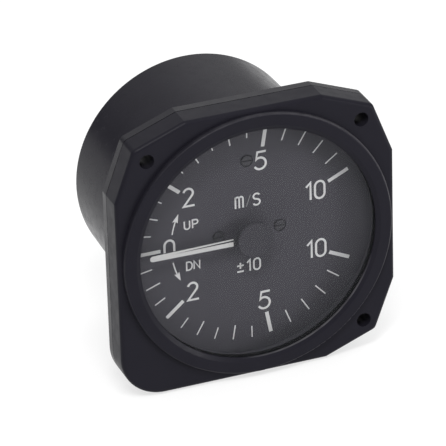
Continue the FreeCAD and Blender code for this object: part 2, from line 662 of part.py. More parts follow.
def make_dial():
    """Dial plate with its centre hole and three sunk screw holes, and the posts behind it."""
    dial = new_node("PartDesign::Body", "dial_plate")
    pad(dial, "disc", "dial_front", DIAL_REAR, disc("dial_radius"))
    pocket(dial, "centre_hole", "dial_front - cut_run", f"{DIAL_REAR} + cut_run",
           disc("dial_centre_hole"))
    pocket(dial, "screw_holes", "dial_front - cut_run", f"{DIAL_REAR} + cut_run",
           circles(DIAL_SCREWS, "dial_screw_radius + screw_play"))
    pocket(dial, "screw_recesses", "dial_front - cut_run", "dial_front + dial_screw_sink",
           circles(DIAL_SCREWS, "dial_screw_head_radius + dial_screw_rim"))
    posts = new_node("PartDesign::Body", "dial_posts")
    pad(posts, "posts", DIAL_REAR, FRONT_PLATE_FRONT, circles(DIAL_SCREWS, "dial_post_radius"))
    pocket(posts, "threads", f"{DIAL_REAR} - cut_run", f"{FRONT_PLATE_FRONT} - screw_play",
           circles(DIAL_SCREWS, "dial_screw_radius"))


def make_screws(label, places, head_front, head_back, tip, radius, head_radius, slot_side, slot_width):
    """A group of slotted screws along Y. The tip lies behind the head, or before it from the rear."""
    body = new_node("PartDesign::Body", label)
    pad(body, "heads", head_front, head_back, circles(places, head_radius))
    if size(tip) > size(head_back):
        pad(body, "shanks", head_back, tip, circles(places, radius))
    else:
        pad(body, "shanks", tip, head_front, circles(places, radius))
    reach = f"({head_radius} + screw_play)"

    def slots(sketch):
        for across, along in places:
            rectangle(sketch, f"({across}) - {reach}", f"({across}) + {reach}",
                      f"({along}) - {slot_width} / 2", f"({along}) + {slot_width} / 2")
    if slot_side == "front":
        pocket(body, "slots", f"{head_front} - cut_run", f"{head_front} + screw_slot_depth", slots)
    else:
        pocket(body, "slots", f"{head_back} - screw_slot_depth", f"{head_back} + cut_run", slots)


def make_seam():
    """Gasket in the seam between bezel frame and case, and the screws that close the seam."""
    gasket = new_node("PartDesign::Body", "seam_gasket")
    pad(gasket, "sheet", "bezel_depth", CASE_FRONT,
        lambda sketch: outline(sketch, flange_points("seam_gasket_inset")))
    round_flange_corners(gasket, "seam_gasket_inset")
    pocket(gasket, "middle", "bezel_depth - cut_run", f"{CASE_FRONT} + cut_run",
           disc("cavity_radius + seam_gasket_play"))
    pocket(gasket, "mount_holes", "bezel_depth - cut_run", f"{CASE_FRONT} + cut_run",
           circles(MOUNT_SCREWS, "mount_hole_radius + seam_gasket_play"))
    pocket(gasket, "screw_holes", "bezel_depth - cut_run", f"{CASE_FRONT} + cut_run",
           circles(BEZEL_SCREWS, "bezel_screw_radius + seam_gasket_play"))
    make_screws("bezel_screws", BEZEL_SCREWS, CASE_FLANGE_REAR,
                f"({CASE_FLANGE_REAR} + bezel_screw_head_height)", "(bezel_depth - bezel_screw_reach)",
                "bezel_screw_radius", "bezel_screw_head_radius", "rear", "screw_slot_width")


# Case

def base_screw_places():
    """Three base screws, evenly spaced, the first straight up."""
    return [polar("base_screw_circle", angle) for angle in (90, 210, 330)]


def seat_screw_places():
    """Three screws that hold the mechanism's front plate in the case."""
    return [polar("seat_screw_circle", angle) for angle in (60, 180, 300)]


def make_case_flange():
    """Square flange with the spigot for the bezel's bore; its own bore takes the front plate."""
    body = new_node("PartDesign::Body", "case_flange")
    pad(body, "flange", CASE_FRONT, CASE_FLANGE_REAR, lambda sketch: outline(sketch, flange_points()))
    round_flange_corners(body)
    turn(body, "spigot", ring_points("0", "(cavity_radius - spigot_play)", DIAL_REAR, CASE_FLANGE_REAR))
    through = (f"{DIAL_REAR} - cut_run", f"{CASE_FLANGE_REAR} + cut_run")
    pocket(body, "bore", *through, disc("plate_seat_radius"))
    pocket(body, "mount_holes", *through, circles(MOUNT_SCREWS, "mount_hole_radius"))
    pocket(body, "screw_holes", *through, circles(BEZEL_SCREWS, "bezel_screw_radius + screw_play"))


def make_case_drum():
    """Tapered drum behind the flange: its front edge seats the front plate, its floor the capsule."""
    body = new_node("PartDesign::Body", "case_drum")
    turn(body, "drum", [("0", CASE_FLANGE_REAR), ("drum_front_radius", CASE_FLANGE_REAR),
                        ("drum_rear_radius", "case_depth"), ("0", "case_depth")])
    round_edges(body, "rear_round", "drum_rear_round",
                lambda edge: is_round_edge(edge, size("drum_rear_radius"), size("case_depth")))
    front = f"({CASE_FLANGE_REAR} - cut_run)"
    groove(body, "chamber", [("0", front), ("chamber_front_radius", front),
                             ("chamber_front_radius", CASE_FLANGE_REAR),
                             ("chamber_rear_radius", CASE_FLOOR_FACE), ("0", CASE_FLOOR_FACE)])
    pocket(body, "port_hole", f"{CASE_FLOOR_FACE} - cut_run", "case_depth + cut_run",
           disc("port_shank_radius + screw_play"))
    pocket(body, "base_screw_holes", f"{CASE_FLOOR_FACE} - cut_run", "case_depth + cut_run",
           circles(base_screw_places(), "base_screw_radius + screw_play"))
    pocket(body, "seat_screw_holes", f"{CASE_FLANGE_REAR} - cut_run",
           f"{CASE_FLANGE_REAR} + seat_screw_reach", circles(seat_screw_places(), "seat_screw_radius"))


# Static port and the capsule's base

def make_static_port():
    """Barbed nipple with a hexagonal collar, its seal and the block that it screws into."""
    nipple = new_node("PartDesign::Body", "static_port_nipple")
    collar_front = "(case_depth + port_seal_thickness)"
    collar_back = f"({collar_front} + port_collar_height)"

    def hexagon(sketch):
        outline(sketch, [polar("port_collar_radius", angle) for angle in range(0, 360, 60)])
    pad(nipple, "collar", collar_front, collar_back, hexagon)
    turn(nipple, "shank", ring_points("0", "port_shank_radius",
                                      "case_depth - port_shank_length", collar_front))
    barb = turn(nipple, "barb", [("0", collar_back), ("port_barb_radius", collar_back),
                                 ("port_spout_radius", f"{collar_back} + port_barb_length"),
                                 ("0", f"{collar_back} + port_barb_length")])
    row_of_barbs = nipple.newObject("PartDesign::LinearPattern", "static_port_nipple_barbs")
    row_of_barbs.Originals = [barb]
    row_of_barbs.Direction = body_axis(nipple, "Y_Axis")
    row_of_barbs.setExpression("Length", bound("port_barb_length * (port_barb_count - 1)"))
    row_of_barbs.setExpression("Occurrences", bound("port_barb_count"))
    nipple.Tip = row_of_barbs
    pocket(nipple, "bore", "case_depth - port_shank_length - cut_run",
           f"{collar_back} + port_barb_length * port_barb_count + cut_run",
           disc("port_bore_radius"))

    seal = new_node("PartDesign::Body", "port_seal")
    turn(seal, "ring", ring_points("port_shank_radius + screw_play", "port_seal_radius",
                                   "case_depth", collar_front))

    base = new_node("PartDesign::Body", "capsule_base")
    turn(base, "column", ring_points("0", "base_column_radius", COLUMN_FRONT, BASE_FLANGE_FRONT))
    turn(base, "foot", ring_points("0", "base_flange_radius", BASE_FLANGE_FRONT, CASE_FLOOR_FACE))
    stem_end = f"({COLUMN_FRONT} + boss_stem_depth)"
    shank_end = "(case_depth - port_shank_length)"
    column_entry = f"({COLUMN_FRONT} - cut_run)"
    groove(base, "bores", [("0", column_entry), ("boss_stem_radius", column_entry),
                           ("boss_stem_radius", stem_end), ("boss_bore_radius", stem_end),
                           ("boss_bore_radius", shank_end), ("port_shank_radius", shank_end),
                           ("port_shank_radius", f"{CASE_FLOOR_FACE} + cut_run"),
                           ("0", f"{CASE_FLOOR_FACE} + cut_run")])
    pocket(base, "screw_holes", BASE_FLANGE_FRONT, f"{CASE_FLOOR_FACE} + cut_run",
           circles(base_screw_places(), "base_screw_radius"))
    side = new_sketch(base, "side_hole", "YZ_Plane", "-(base_column_radius + cut_run)")
    circle(side, "capillary_plane", "0", "ferrule_radius")
    side_hole = base.newObject("PartDesign::Pocket", "capsule_base_side_hole")
    side_hole.Profile = side
    side_hole.Reversed = True
    side_hole.setExpression("Length", bound("ferrule_depth + cut_run"))
    make_screws("base_screws", base_screw_places(), "case_depth",
                "(case_depth + base_screw_head_height)", BASE_FLANGE_FRONT,
                "base_screw_radius", "base_screw_head_radius", "rear", "screw_slot_width")


def make_restrictor():
    """Capillary tube that lets the case's air follow slowly, with the ferrule that carries it."""
    ferrule = new_node("PartDesign::Body", "capillary_ferrule")
    inner_end = "(ferrule_depth - base_column_radius)"
    outer_end = "(-base_column_radius - ferrule_length)"
    tube_end = "(-base_column_radius - ferrule_length / 2)"
    turn(ferrule, "sleeve", [(inner_end, "capillary_bore"), (inner_end, "ferrule_radius"),
                             (outer_end, "ferrule_radius"), (outer_end, "capillary_radius"),
                             (tube_end, "capillary_radius"), (tube_end, "capillary_bore")], "H_Axis")
    place(ferrule, y="capillary_plane")
    tube = new_node("Part::Cut", "capillary_tube")
    solids = []
    for name, radius in (("capillary_rod", "capillary_radius"), ("capillary_core", "capillary_bore")):
        rod = doc.addObject("Part::Cylinder", name)
        rod.setExpression("Radius", bound(radius))
        rod.setExpression("Height", bound("capillary_length"))
        rod.Placement.Rotation = FreeCAD.Rotation(FreeCAD.Vector(0, 1, 0), -90)
        solids.append(rod)
    tube.Base, tube.Tool = solids
    place(tube, x=tube_end, y="capillary_plane")


# Capsule

def corrugations(middle, rim, outward):
    """The corrugated stretch of a disc, from its flat centre out to its flat rim.

    middle and rim are the depths of centre and rim; outward is "" or "-", the sign of the side
    towards which the crests stand. Each corrugation is a rise, a flat crest, a fall and a flat.
    """
    start = "diaphragm_centre_radius"
    width = f"(capsule_radius - diaphragm_rim_width - {start})"
    quarters = int(round(size("corrugation_count"))) * 4
    wave = []
    for quarter in range(quarters + 1):
        share = f"{quarter} / {quarters}"
        crest = f"{outward} corrugation_depth" if quarter % 4 in (1, 2) else "0"
        wave.append((f"({start} + {width} * {share})",
                     f"({middle} + ({rim} - {middle}) * {share} + ({crest}))"))
    return wave


def make_diaphragm(label, middle, rim, outward, hole):
    """One corrugated disc. middle and rim are its outer face; the sheet lies on the seam's side."""
    body = new_node("PartDesign::Body", label)
    outer_face = [(hole, middle)] + corrugations(middle, rim, outward) + [("capsule_radius", rim)]
    inner_face = [(radius, f"({depth} - ({outward} diaphragm_thickness))")
                  for radius, depth in reversed(outer_face)]
    turn(body, "sheet", outer_face + inner_face)


def make_capsule():
    """Capsule of two corrugated discs, their seam, the moving post and the fixed rear boss."""
    make_diaphragm("capsule_front_diaphragm", FRONT_DIAPHRAGM, "(capsule_plane - diaphragm_thickness)",
                   "-", "0")
    make_diaphragm("capsule_rear_diaphragm", REAR_DIAPHRAGM, "(capsule_plane + diaphragm_thickness)",
                   "", "diaphragm_hole_radius")
    seam = new_node("PartDesign::Body", "capsule_seam")
    turn(seam, "ring", ring_points("capsule_radius", "capsule_radius + capsule_seam_width",
                                   "capsule_plane - capsule_seam_height / 2",
                                   "capsule_plane + capsule_seam_height / 2"))
    boss = new_node("PartDesign::Body", "capsule_rear_boss")
    boss_end = f"({COLUMN_FRONT} + boss_stem_depth)"
    turn(boss, "boss", [("boss_bore_radius", REAR_DIAPHRAGM), ("boss_flange_radius", REAR_DIAPHRAGM),
                        ("boss_flange_radius", BOSS_REAR), ("boss_stem_radius", BOSS_REAR),
                        ("boss_stem_radius", boss_end), ("boss_bore_radius", boss_end)])

    post = new_node("PartDesign::Body", "capsule_post")
    slot_half = "(drive_pin_radius + drive_pin_play)"
    yoke_front = f"(rocking_plane - {slot_half} - yoke_wall)"
    yoke_back = f"(rocking_plane + {slot_half} + yoke_wall)"
    flange_front = f"({FRONT_DIAPHRAGM} - boss_flange_thickness)"
    turn(post, "stem", ring_points("0", "post_radius", f"{yoke_back} - yoke_wall / 2", flange_front))
    turn(post, "flange", ring_points("0", "boss_flange_radius", flange_front, FRONT_DIAPHRAGM))
    pad(post, "yoke", yoke_front, yoke_back,
        lambda sketch: rectangle(sketch, "-yoke_half_width", "yoke_half_width",
                                 "-yoke_half_height", "yoke_half_height"))
    slot_height = "(yoke_half_height - yoke_wall / 2)"
    pocket(post, "slot", f"rocking_plane - {slot_half}", f"rocking_plane + {slot_half}",
           lambda sketch: rectangle(sketch, "-(yoke_half_width + cut_run)", "yoke_half_width + cut_run",
                                    f"-{slot_height}", slot_height))


# Mechanism plates

def window_places():
    """Lightening holes that keep clear of staffs, pillars and brackets."""
    return [polar("plate_window_circle", angle) for angle in WINDOW_ANGLES]


def make_plates():
    """Front and rear plate with their pillars, screws and bushes."""
    pillar_places = [polar("pillar_circle", angle) for angle in PILLAR_ANGLES]
    front = new_node("PartDesign::Body", "front_plate")
    pad(front, "disc", FRONT_PLATE_FRONT, FRONT_PLATE_REAR,
        disc("plate_seat_radius - plate_play"))
    through = (f"{FRONT_PLATE_FRONT} - cut_run", f"{FRONT_PLATE_REAR} + cut_run")
    pocket(front, "windows", *through, circles(window_places()[1:], "plate_window_radius"))
    pocket(front, "bush_holes", *through, circles(STAFFS, "bush_radius"))
    pocket(front, "seat_holes", *through, circles(seat_screw_places(), "seat_screw_radius + screw_play"))
    pocket(front, "pillar_holes", *through, circles(pillar_places, "pillar_screw_radius + screw_play"))

    rear = new_node("PartDesign::Body", "rear_plate")
    pad(rear, "disc", REAR_PLATE_FRONT, REAR_PLATE_REAR,
        disc("rear_plate_radius"))
    through = (f"{REAR_PLATE_FRONT} - cut_run", f"{REAR_PLATE_REAR} + cut_run")
    pocket(rear, "windows", *through, circles(window_places(), "plate_window_radius"))
    pocket(rear, "bush_holes", *through, circles(STAFFS, "bush_radius"))
    pocket(rear, "pillar_holes", *through, circles(pillar_places, "pillar_screw_radius + screw_play"))
    rod_swing = f"((rocking_plane - {REAR_PLATE_FRONT}) * tan(rocking_travel))"
    room = "(output_rod_radius + window_play)"
    pocket(rear, "ear_screw_holes", *through, circles(ear_screw_places(), "ear_screw_radius"))
    pocket(rear, "rod_window", *through,
           lambda sketch: rectangle(sketch, f"{OUTPUT_X} - {room}", f"{OUTPUT_X} + {room}",
                                    f"sector_pivot_z - {rod_swing} - {room}",
                                    f"sector_pivot_z + {rod_swing} + {room}"))

    pillars = new_node("PartDesign::Body", "plate_pillars")
    pad(pillars, "pillars", FRONT_PLATE_REAR, REAR_PLATE_FRONT, circles(pillar_places, "pillar_radius"))
    reach = "(pillar_screw_reach + screw_play)"
    pocket(pillars, "front_threads", f"{FRONT_PLATE_REAR} - cut_run", f"{FRONT_PLATE_REAR} + {reach}",
           circles(pillar_places, "pillar_screw_radius"))
    pocket(pillars, "rear_threads", f"{REAR_PLATE_FRONT} - {reach}", f"{REAR_PLATE_FRONT} + cut_run",
           circles(pillar_places, "pillar_screw_radius"))
    make_screws("front_pillar_screws", pillar_places, f"({FRONT_PLATE_FRONT} - pillar_screw_head_height)",
                FRONT_PLATE_FRONT, f"({FRONT_PLATE_REAR} + pillar_screw_reach)", "pillar_screw_radius",
                "pillar_screw_head_radius", "front", "screw_slot_width")
    make_screws("rear_pillar_screws", pillar_places, REAR_PLATE_REAR,
                f"({REAR_PLATE_REAR} + pillar_screw_head_height)",
                f"({REAR_PLATE_FRONT} - pillar_screw_reach)", "pillar_screw_radius",
                "pillar_screw_head_radius", "rear", "screw_slot_width")
    make_screws("seat_screws", seat_screw_places(), f"({FRONT_PLATE_FRONT} - seat_screw_head_height)",
                FRONT_PLATE_FRONT, f"({FRONT_PLATE_REAR} + seat_screw_reach)", "seat_screw_radius",
                "seat_screw_head_radius", "front", "dial_screw_slot")
    for label, pivot, near_side, far_side in (
            ("front_bushes", "front_pivot_radius", FRONT_PLATE_FRONT, FRONT_PLATE_REAR),
            ("rear_bushes", "rear_pivot_radius", REAR_PLATE_FRONT, REAR_PLATE_REAR)):
        bushes = new_node("PartDesign::Body", label)
        pad(bushes, "sleeves", near_side, far_side, circles(STAFFS, "bush_radius"))
        pocket(bushes, "bores", f"{near_side} - cut_run", f"{far_side} + cut_run",
               circles(STAFFS, f"{pivot} + pivot_play"))


# Gears and staffs

def staff_points(tip):
    """Section of a staff: long front pivot, thick middle between the plates, short rear pivot."""
    shoulder = f"({FRONT_PLATE_REAR} + shoulder_gap)"
    rear_shoulder = f"({REAR_PLATE_FRONT} - shoulder_gap)"
    return [("0", tip), ("front_pivot_radius", tip), ("front_pivot_radius", shoulder),
            ("staff_radius", shoulder), ("staff_radius", rear_shoulder),
            ("rear_pivot_radius", rear_shoulder), ("rear_pivot_radius", REAR_PLATE_REAR),
            ("0", REAR_PLATE_REAR)]


def draw_tooth(sketch, pitch):
    """One tooth with straight flanks on the local X axis, narrower than its gap for free running."""
    root = f"({pitch} - {TOOTH_ROOT} * gear_module)"
    tip = f"({pitch} + {TOOTH_TIP} * gear_module)"
    foot = f"({root} - {TOOTH_SINK} * gear_module)"
    half_foot = f"({TOOTH_HALF_FOOT} * gear_module)"
    half_tip = f"({TOOTH_HALF_TIP} * gear_module)"
    outline(sketch, [(foot, f"-{half_foot}"), (tip, f"-{half_tip}"), (tip, half_tip), (foot, half_foot)])


def make_hand_staff():
    """Staff with its pinion and collet, which carries the pointer."""
    staff = new_node("PartDesign::Body", "hand_staff")
    turn(staff, "staff", staff_points("(pointer_front - cap_lift)"))

    pinion = new_node("PartDesign::Body", "hand_pinion")
    back = "(pinion_front + pinion_width)"
    root = f"({PINION_PITCH} - {TOOTH_ROOT} * gear_module)"
    pad(pinion, "core", "pinion_front", back, disc(root))
    tooth = pad(pinion, "tooth", "pinion_front", back, lambda sketch: draw_tooth(sketch, PINION_PITCH))
    repeat_round(pinion, "teeth", tooth, "pinion_teeth",
                 "360 * (pinion_teeth - 1) / pinion_teeth")
    pocket(pinion, "bore", "pinion_front - cut_run", f"{back} + cut_run", disc("staff_radius"))
    pinion.Placement.Rotation = FreeCAD.Rotation(FreeCAD.Vector(0, 1, 0), pinion_phase())

    collet = new_node("PartDesign::Body", "hairspring_collet")
    turn(collet, "ring", ring_points("staff_radius", "collet_radius", "collet_front",
                                     "collet_front + collet_width"))


def sector_angle():
    """Direction from the sector's staff to the hand staff, in degrees from +X towards +Z."""
    return math.degrees(math.atan2(-size("sector_pivot_z"), -size(SECTOR_X)))


def pinion_phase():
    """Turn about +Y that puts a gap of the pinion on the line to the sector's staff."""
    towards_sector = sector_angle() + 180.0
    half_tooth = 180.0 / size("pinion_teeth")
    return -(towards_sector + half_tooth)


def spiral_edge(radius):
    """A smooth spiral in the XZ plane that starts on the X axis at this radius."""
    turns = int(round(size("hairspring_turns")))
    points = []
    for step in range(turns * SPIRAL_STEPS + 1):
        angle = 2 * math.pi * step / SPIRAL_STEPS
        reach = radius + size("hairspring_pitch") * step / SPIRAL_STEPS
        points.append(FreeCAD.Vector(reach * math.cos(angle), 0, reach * math.sin(angle)))
    curve = Part.BSplineCurve()
    curve.interpolate(points)
    return curve.toShape()


def make_hairspring():
    """Flat spiral spring between the collet and its stud on the rear plate."""
    inner = spiral_edge(size("collet_radius"))
    outer = spiral_edge(size("collet_radius + hairspring_strip"))
    ends = [Part.makeLine(inner.Vertexes[side].Point, outer.Vertexes[side].Point) for side in (0, 1)]
    band = Part.Face(Part.Wire(Part.__sortEdges__([inner, outer] + ends)))
    spring = new_node("Part::Feature", "hairspring")
    spring.Shape = band.extrude(FreeCAD.Vector(0, size("hairspring_height"), 0))
    place(spring, y="collet_front + (collet_width - hairspring_height) / 2")
    stud = new_node("PartDesign::Body", "hairspring_stud")
    outer_end = "(collet_radius + hairspring_strip + hairspring_pitch * hairspring_turns + stud_radius)"
    pad(stud, "pin", "collet_front", REAR_PLATE_FRONT, circles([(outer_end, "0")], "stud_radius"))


def make_pointer():
    """Creased blade with a round middle, its bush and the cap that covers both."""
    blade = new_node("PartDesign::Body", "pointer_blade")
    point = "(pointer_length - pointer_point)"

    def blade_outline(sketch):
        outline(sketch, [("0", "-pointer_root_half"), ("0", "pointer_root_half"),
                         (f"-{point}", "pointer_tip_half"), ("-pointer_length", "pointer_tip_half / 2"),
                         ("-pointer_length", "-pointer_tip_half / 2"), (f"-{point}", "-pointer_tip_half")])
    pad(blade, "blade", "pointer_front", POINTER_REAR, blade_outline)
    pad(blade, "disc", "pointer_front", POINTER_REAR, disc("pointer_disc_radius"))
    pocket(blade, "crease", "pointer_front - cut_run", "pointer_front + crease_depth",
           lambda sketch: outline(sketch, [("-pointer_paint_start", "crease_offset - crease_root_half"),
                                           ("-pointer_paint_start", "crease_offset + crease_root_half"),
                                           ("-crease_end", "crease_offset / 2")]))
    pocket(blade, "bore", "pointer_front - cut_run", f"{POINTER_REAR} + cut_run",
           disc("pointer_bush_radius"))
    bush = new_node("PartDesign::Body", "pointer_bush")
    turn(bush, "bush", ring_points("front_pivot_radius", "pointer_bush_radius", "pointer_front",
                                   "pointer_front + pointer_bush_length"))
    cap = new_node("PartDesign::Body", "pointer_cap")
    pad(cap, "disc", "cap_front", "pointer_front - cap_lift", disc("cap_radius"))
    pad(cap, "boss", "pointer_front - cap_lift", "pointer_front", disc("pointer_disc_radius"))
    pocket(cap, "staff_hole", "pointer_front - cap_lift", "pointer_front + cut_run",
           disc("front_pivot_radius"))
    round_edges(cap, "edge_round", "cap_edge_round",
                lambda edge: is_round_edge(edge, size("cap_radius"), size("cap_front")))


def turn_to_pinion(piece):
    """Places a sub-part on the sector's staff, its local X axis towards the hand staff."""
    place(piece, x=SECTOR_X, z="sector_pivot_z")
    piece.Placement.Rotation = FreeCAD.Rotation(FreeCAD.Vector(0, 1, 0), -sector_angle())


def make_sector():
    """Toothed sector with two spokes, its staff, the forked lever and the stop pins."""
    sector = new_node("PartDesign::Body", "sector_gear")
    root = f"({SECTOR_PITCH} - {TOOTH_ROOT} * gear_module)"
    back = "(sector_front + sector_thickness)"
    pad(sector, "wheel", "sector_front", back,
        lambda sketch: annular_sector(sketch, "(sector_hub_radius / 2)", root, "sector_half_angle"))
    pocket(sector, "window", "sector_front - cut_run", f"{back} + cut_run",
           lambda sketch: annular_sector(sketch, "(sector_hub_radius + sector_rim / 2)",
                                         f"({root} - sector_rim)",
                                         "(sector_half_angle - sector_spoke_angle)"))
    pad(sector, "hub", "sector_front", back, disc("sector_hub_radius"))
    tooth = pad(sector, "tooth", "sector_front", back, lambda sketch: draw_tooth(sketch, SECTOR_PITCH))
    half_teeth = "(sector_teeth + 1) / 2"
    half_span = "180 * (sector_teeth - 1) / sector_full_teeth"
    repeat_round(sector, "teeth_up", tooth, half_teeth, half_span)
    repeat_round(sector, "teeth_down", tooth, half_teeth, half_span, reverse=True)
    pocket(sector, "bore", "sector_front - cut_run", f"{back} + cut_run", disc("staff_radius"))
    turn_to_pinion(sector)

    staff = new_node("PartDesign::Body", "sector_staff")
    turn(staff, "staff", staff_points(FRONT_PLATE_FRONT))
    place(staff, x=SECTOR_X, z="sector_pivot_z")

    lever = new_node("PartDesign::Body", "sector_lever")
    end = "(lever_reach + lever_half_width + output_rod_radius)"
    fork = "(output_rod_radius + lever_slot_play)"
    pad(lever, "hub", "lever_front", LEVER_REAR, disc("arm_hub_radius"))
    pad(lever, "bar", "lever_front", LEVER_REAR,
        lambda sketch: rectangle(sketch, "0", end, "-lever_half_width", "lever_half_width"))
    pocket(lever, "fork", "lever_front - cut_run", f"{LEVER_REAR} + cut_run",
           lambda sketch: rectangle(sketch, "lever_reach - 2 * output_rod_radius",
                                    f"{end} + cut_run", f"-{fork}", fork))
    pocket(lever, "bore", "lever_front - cut_run", f"{LEVER_REAR} + cut_run",
           disc("staff_radius"))
    place(lever, x=SECTOR_X, z="sector_pivot_z")

    stops = new_node("PartDesign::Body", "sector_stop_pins")
    stop_angle = ("(sector_half_angle + sector_travel"
                  " + asin((stop_pin_radius + stop_pin_play) / stop_pin_circle) / 1 deg)")
    across, along = polar("stop_pin_circle", stop_angle)
    pad(stops, "pins", FRONT_PLATE_REAR, f"{back} + stop_pin_radius",
        circles([(across, along), (across, f"-({along})")], "stop_pin_radius"))
    turn_to_pinion(stops)


# Rocking shaft

def ear_screw_places():
    """One screw in the foot of each ear."""
    return [(f"({ear} - ear_foot_width / 2)", "(sector_pivot_z + ear_half_width + ear_foot_height / 2)")
            for ear in ("rocking_left", "rocking_right")]


def make_rocking_shaft():
    """Shaft with the drive arm that the capsule's post moves and the arm that turns the lever."""
    shaft = new_node("PartDesign::Body", "rocking_shaft")
    left_end = "(rocking_left - ear_thickness / 2)"
    left_shoulder = "(rocking_left + ear_thickness / 2 + shoulder_gap)"
    right_shoulder = "(rocking_right - ear_thickness / 2 - shoulder_gap)"
    right_end = "(rocking_right + ear_thickness / 2)"
    turn(shaft, "shaft", [(left_end, "0"), (left_end, "rocking_pivot_radius"),
                          (left_shoulder, "rocking_pivot_radius"),
                          (left_shoulder, "rocking_shaft_radius"),
                          (right_shoulder, "rocking_shaft_radius"),
                          (right_shoulder, "rocking_pivot_radius"),
                          (right_end, "rocking_pivot_radius"), (right_end, "0")], "H_Axis")
    place(shaft, y="rocking_plane", z="sector_pivot_z")

    drive = new_node("PartDesign::Body", "rocking_drive_arm")
    outer_face = "(drive_arm_x + drive_arm_thickness)"
    half_width = "(drive_pin_radius * 2)"
    side_pad(drive, "hub", "drive_arm_x", outer_face, disc("arm_hub_radius"))
    side_pad(drive, "blade", "drive_arm_x", outer_face,
             lambda sketch: rectangle(sketch, f"-{half_width}", half_width,
                                      "0", f"drive_arm_reach + {half_width}"))
    side_pad(drive, "pin", "-yoke_half_width", outer_face,
             circles([("0", "drive_arm_reach")], "drive_pin_radius"))
    side_pocket(drive, "bore", "drive_arm_x - cut_run", f"{outer_face} + cut_run",
                disc("rocking_shaft_radius"))
    place(drive, y="rocking_plane", z="sector_pivot_z")

    output = new_node("PartDesign::Body", "rocking_output_arm")
    hub_left = f"({OUTPUT_X} - output_hub_width / 2)"
    hub_right = f"({OUTPUT_X} + output_hub_width / 2)"
    side_pad(output, "hub", hub_left, hub_right, disc("arm_hub_radius"))
    pad(output, "rod", "lever_front - output_rod_overhang - rocking_plane", "-rocking_shaft_radius",
        circles([(OUTPUT_X, "0")], "output_rod_radius"))
    side_pocket(output, "bore", f"{hub_left} - cut_run", f"{hub_right} + cut_run",
                disc("rocking_shaft_radius"))
    place(output, y="rocking_plane", z="sector_pivot_z")

    for label, ear in (("rocking_left_ear", "rocking_left"), ("rocking_right_ear", "rocking_right")):
        body = new_node("PartDesign::Body", label)
        left_face = f"({ear} - ear_thickness / 2)"
        right_face = f"({ear} + ear_thickness / 2)"
        top = "(ear_half_width + ear_foot_height)"
        rear_face = f"({REAR_PLATE_REAR} - rocking_plane)"
        side_pad(body, "ear", left_face, right_face,
                 lambda sketch: outline(sketch, [(rear_face, "-ear_half_width"),
                                                 ("ear_half_width", "-ear_half_width"),
                                                 ("ear_half_width", "ear_half_width"),
                                                 (f"{rear_face} + ear_thickness", top), (rear_face, top)]))
        pad(body, "foot", rear_face, f"{rear_face} + ear_thickness",
            lambda sketch: rectangle(sketch, f"{left_face} - ear_foot_width", right_face,
                                     "ear_half_width", top))
        side_pocket(body, "pivot_hole", f"{left_face} - cut_run", f"{right_face} + cut_run",
                    disc("rocking_pivot_radius + pivot_play"))
        across, along = ear_screw_places()[0 if ear == "rocking_left" else 1]
        pocket(body, "screw_hole", f"{rear_face} - cut_run", f"{rear_face} + ear_thickness + cut_run",
               circles([(across, f"{along} - sector_pivot_z")], "ear_screw_radius + screw_play"))
        place(body, y="rocking_plane", z="sector_pivot_z")
    ear_rear = f"({REAR_PLATE_REAR} + ear_thickness)"
    make_screws("ear_screws", ear_screw_places(), ear_rear, f"({ear_rear} + ear_screw_head_height)",
                f"({REAR_PLATE_FRONT} + screw_play)", "ear_screw_radius", "ear_screw_head_radius",
                "rear", "dial_screw_slot")


def write_nodes():
    """Checks every object and every sub-part, then writes one file for each sub-part."""
    doc.recompute()
    for item in doc.Objects:
        if "Invalid" in item.State or "Error" in item.State:
            raise ValueError(f"{item.Label} failed: {item.State}")
    for piece in nodes:
        if piece.Shape.isNull() or not piece.Shape.isValid():
            raise ValueError(f"{piece.Label} has no valid shape")
    os.makedirs("parts", exist_ok=True)
    for piece in nodes:
        piece.Shape.exportStep(f"parts/{piece.Label}.step")


make_bezel_frame()
make_glass_stack()
make_dial()
make_screws("dial_screws", DIAL_SCREWS, "(dial_front + dial_screw_sink - dial_screw_head_height)",
            "(dial_front + dial_screw_sink)", f"({FRONT_PLATE_FRONT} - 2 * screw_play)",
            "dial_screw_radius", "dial_screw_head_radius", "front", "dial_screw_slot")
make_seam()
make_case_flange()
make_case_drum()
make_static_port()
make_restrictor()
make_capsule()
make_plates()
make_hand_staff()
make_hairspring()
make_pointer()
make_sector()
make_rocking_shaft()
write_nodes()
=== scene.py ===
import json
import math

import bmesh
import bpy
from mathutils import Matrix, Vector


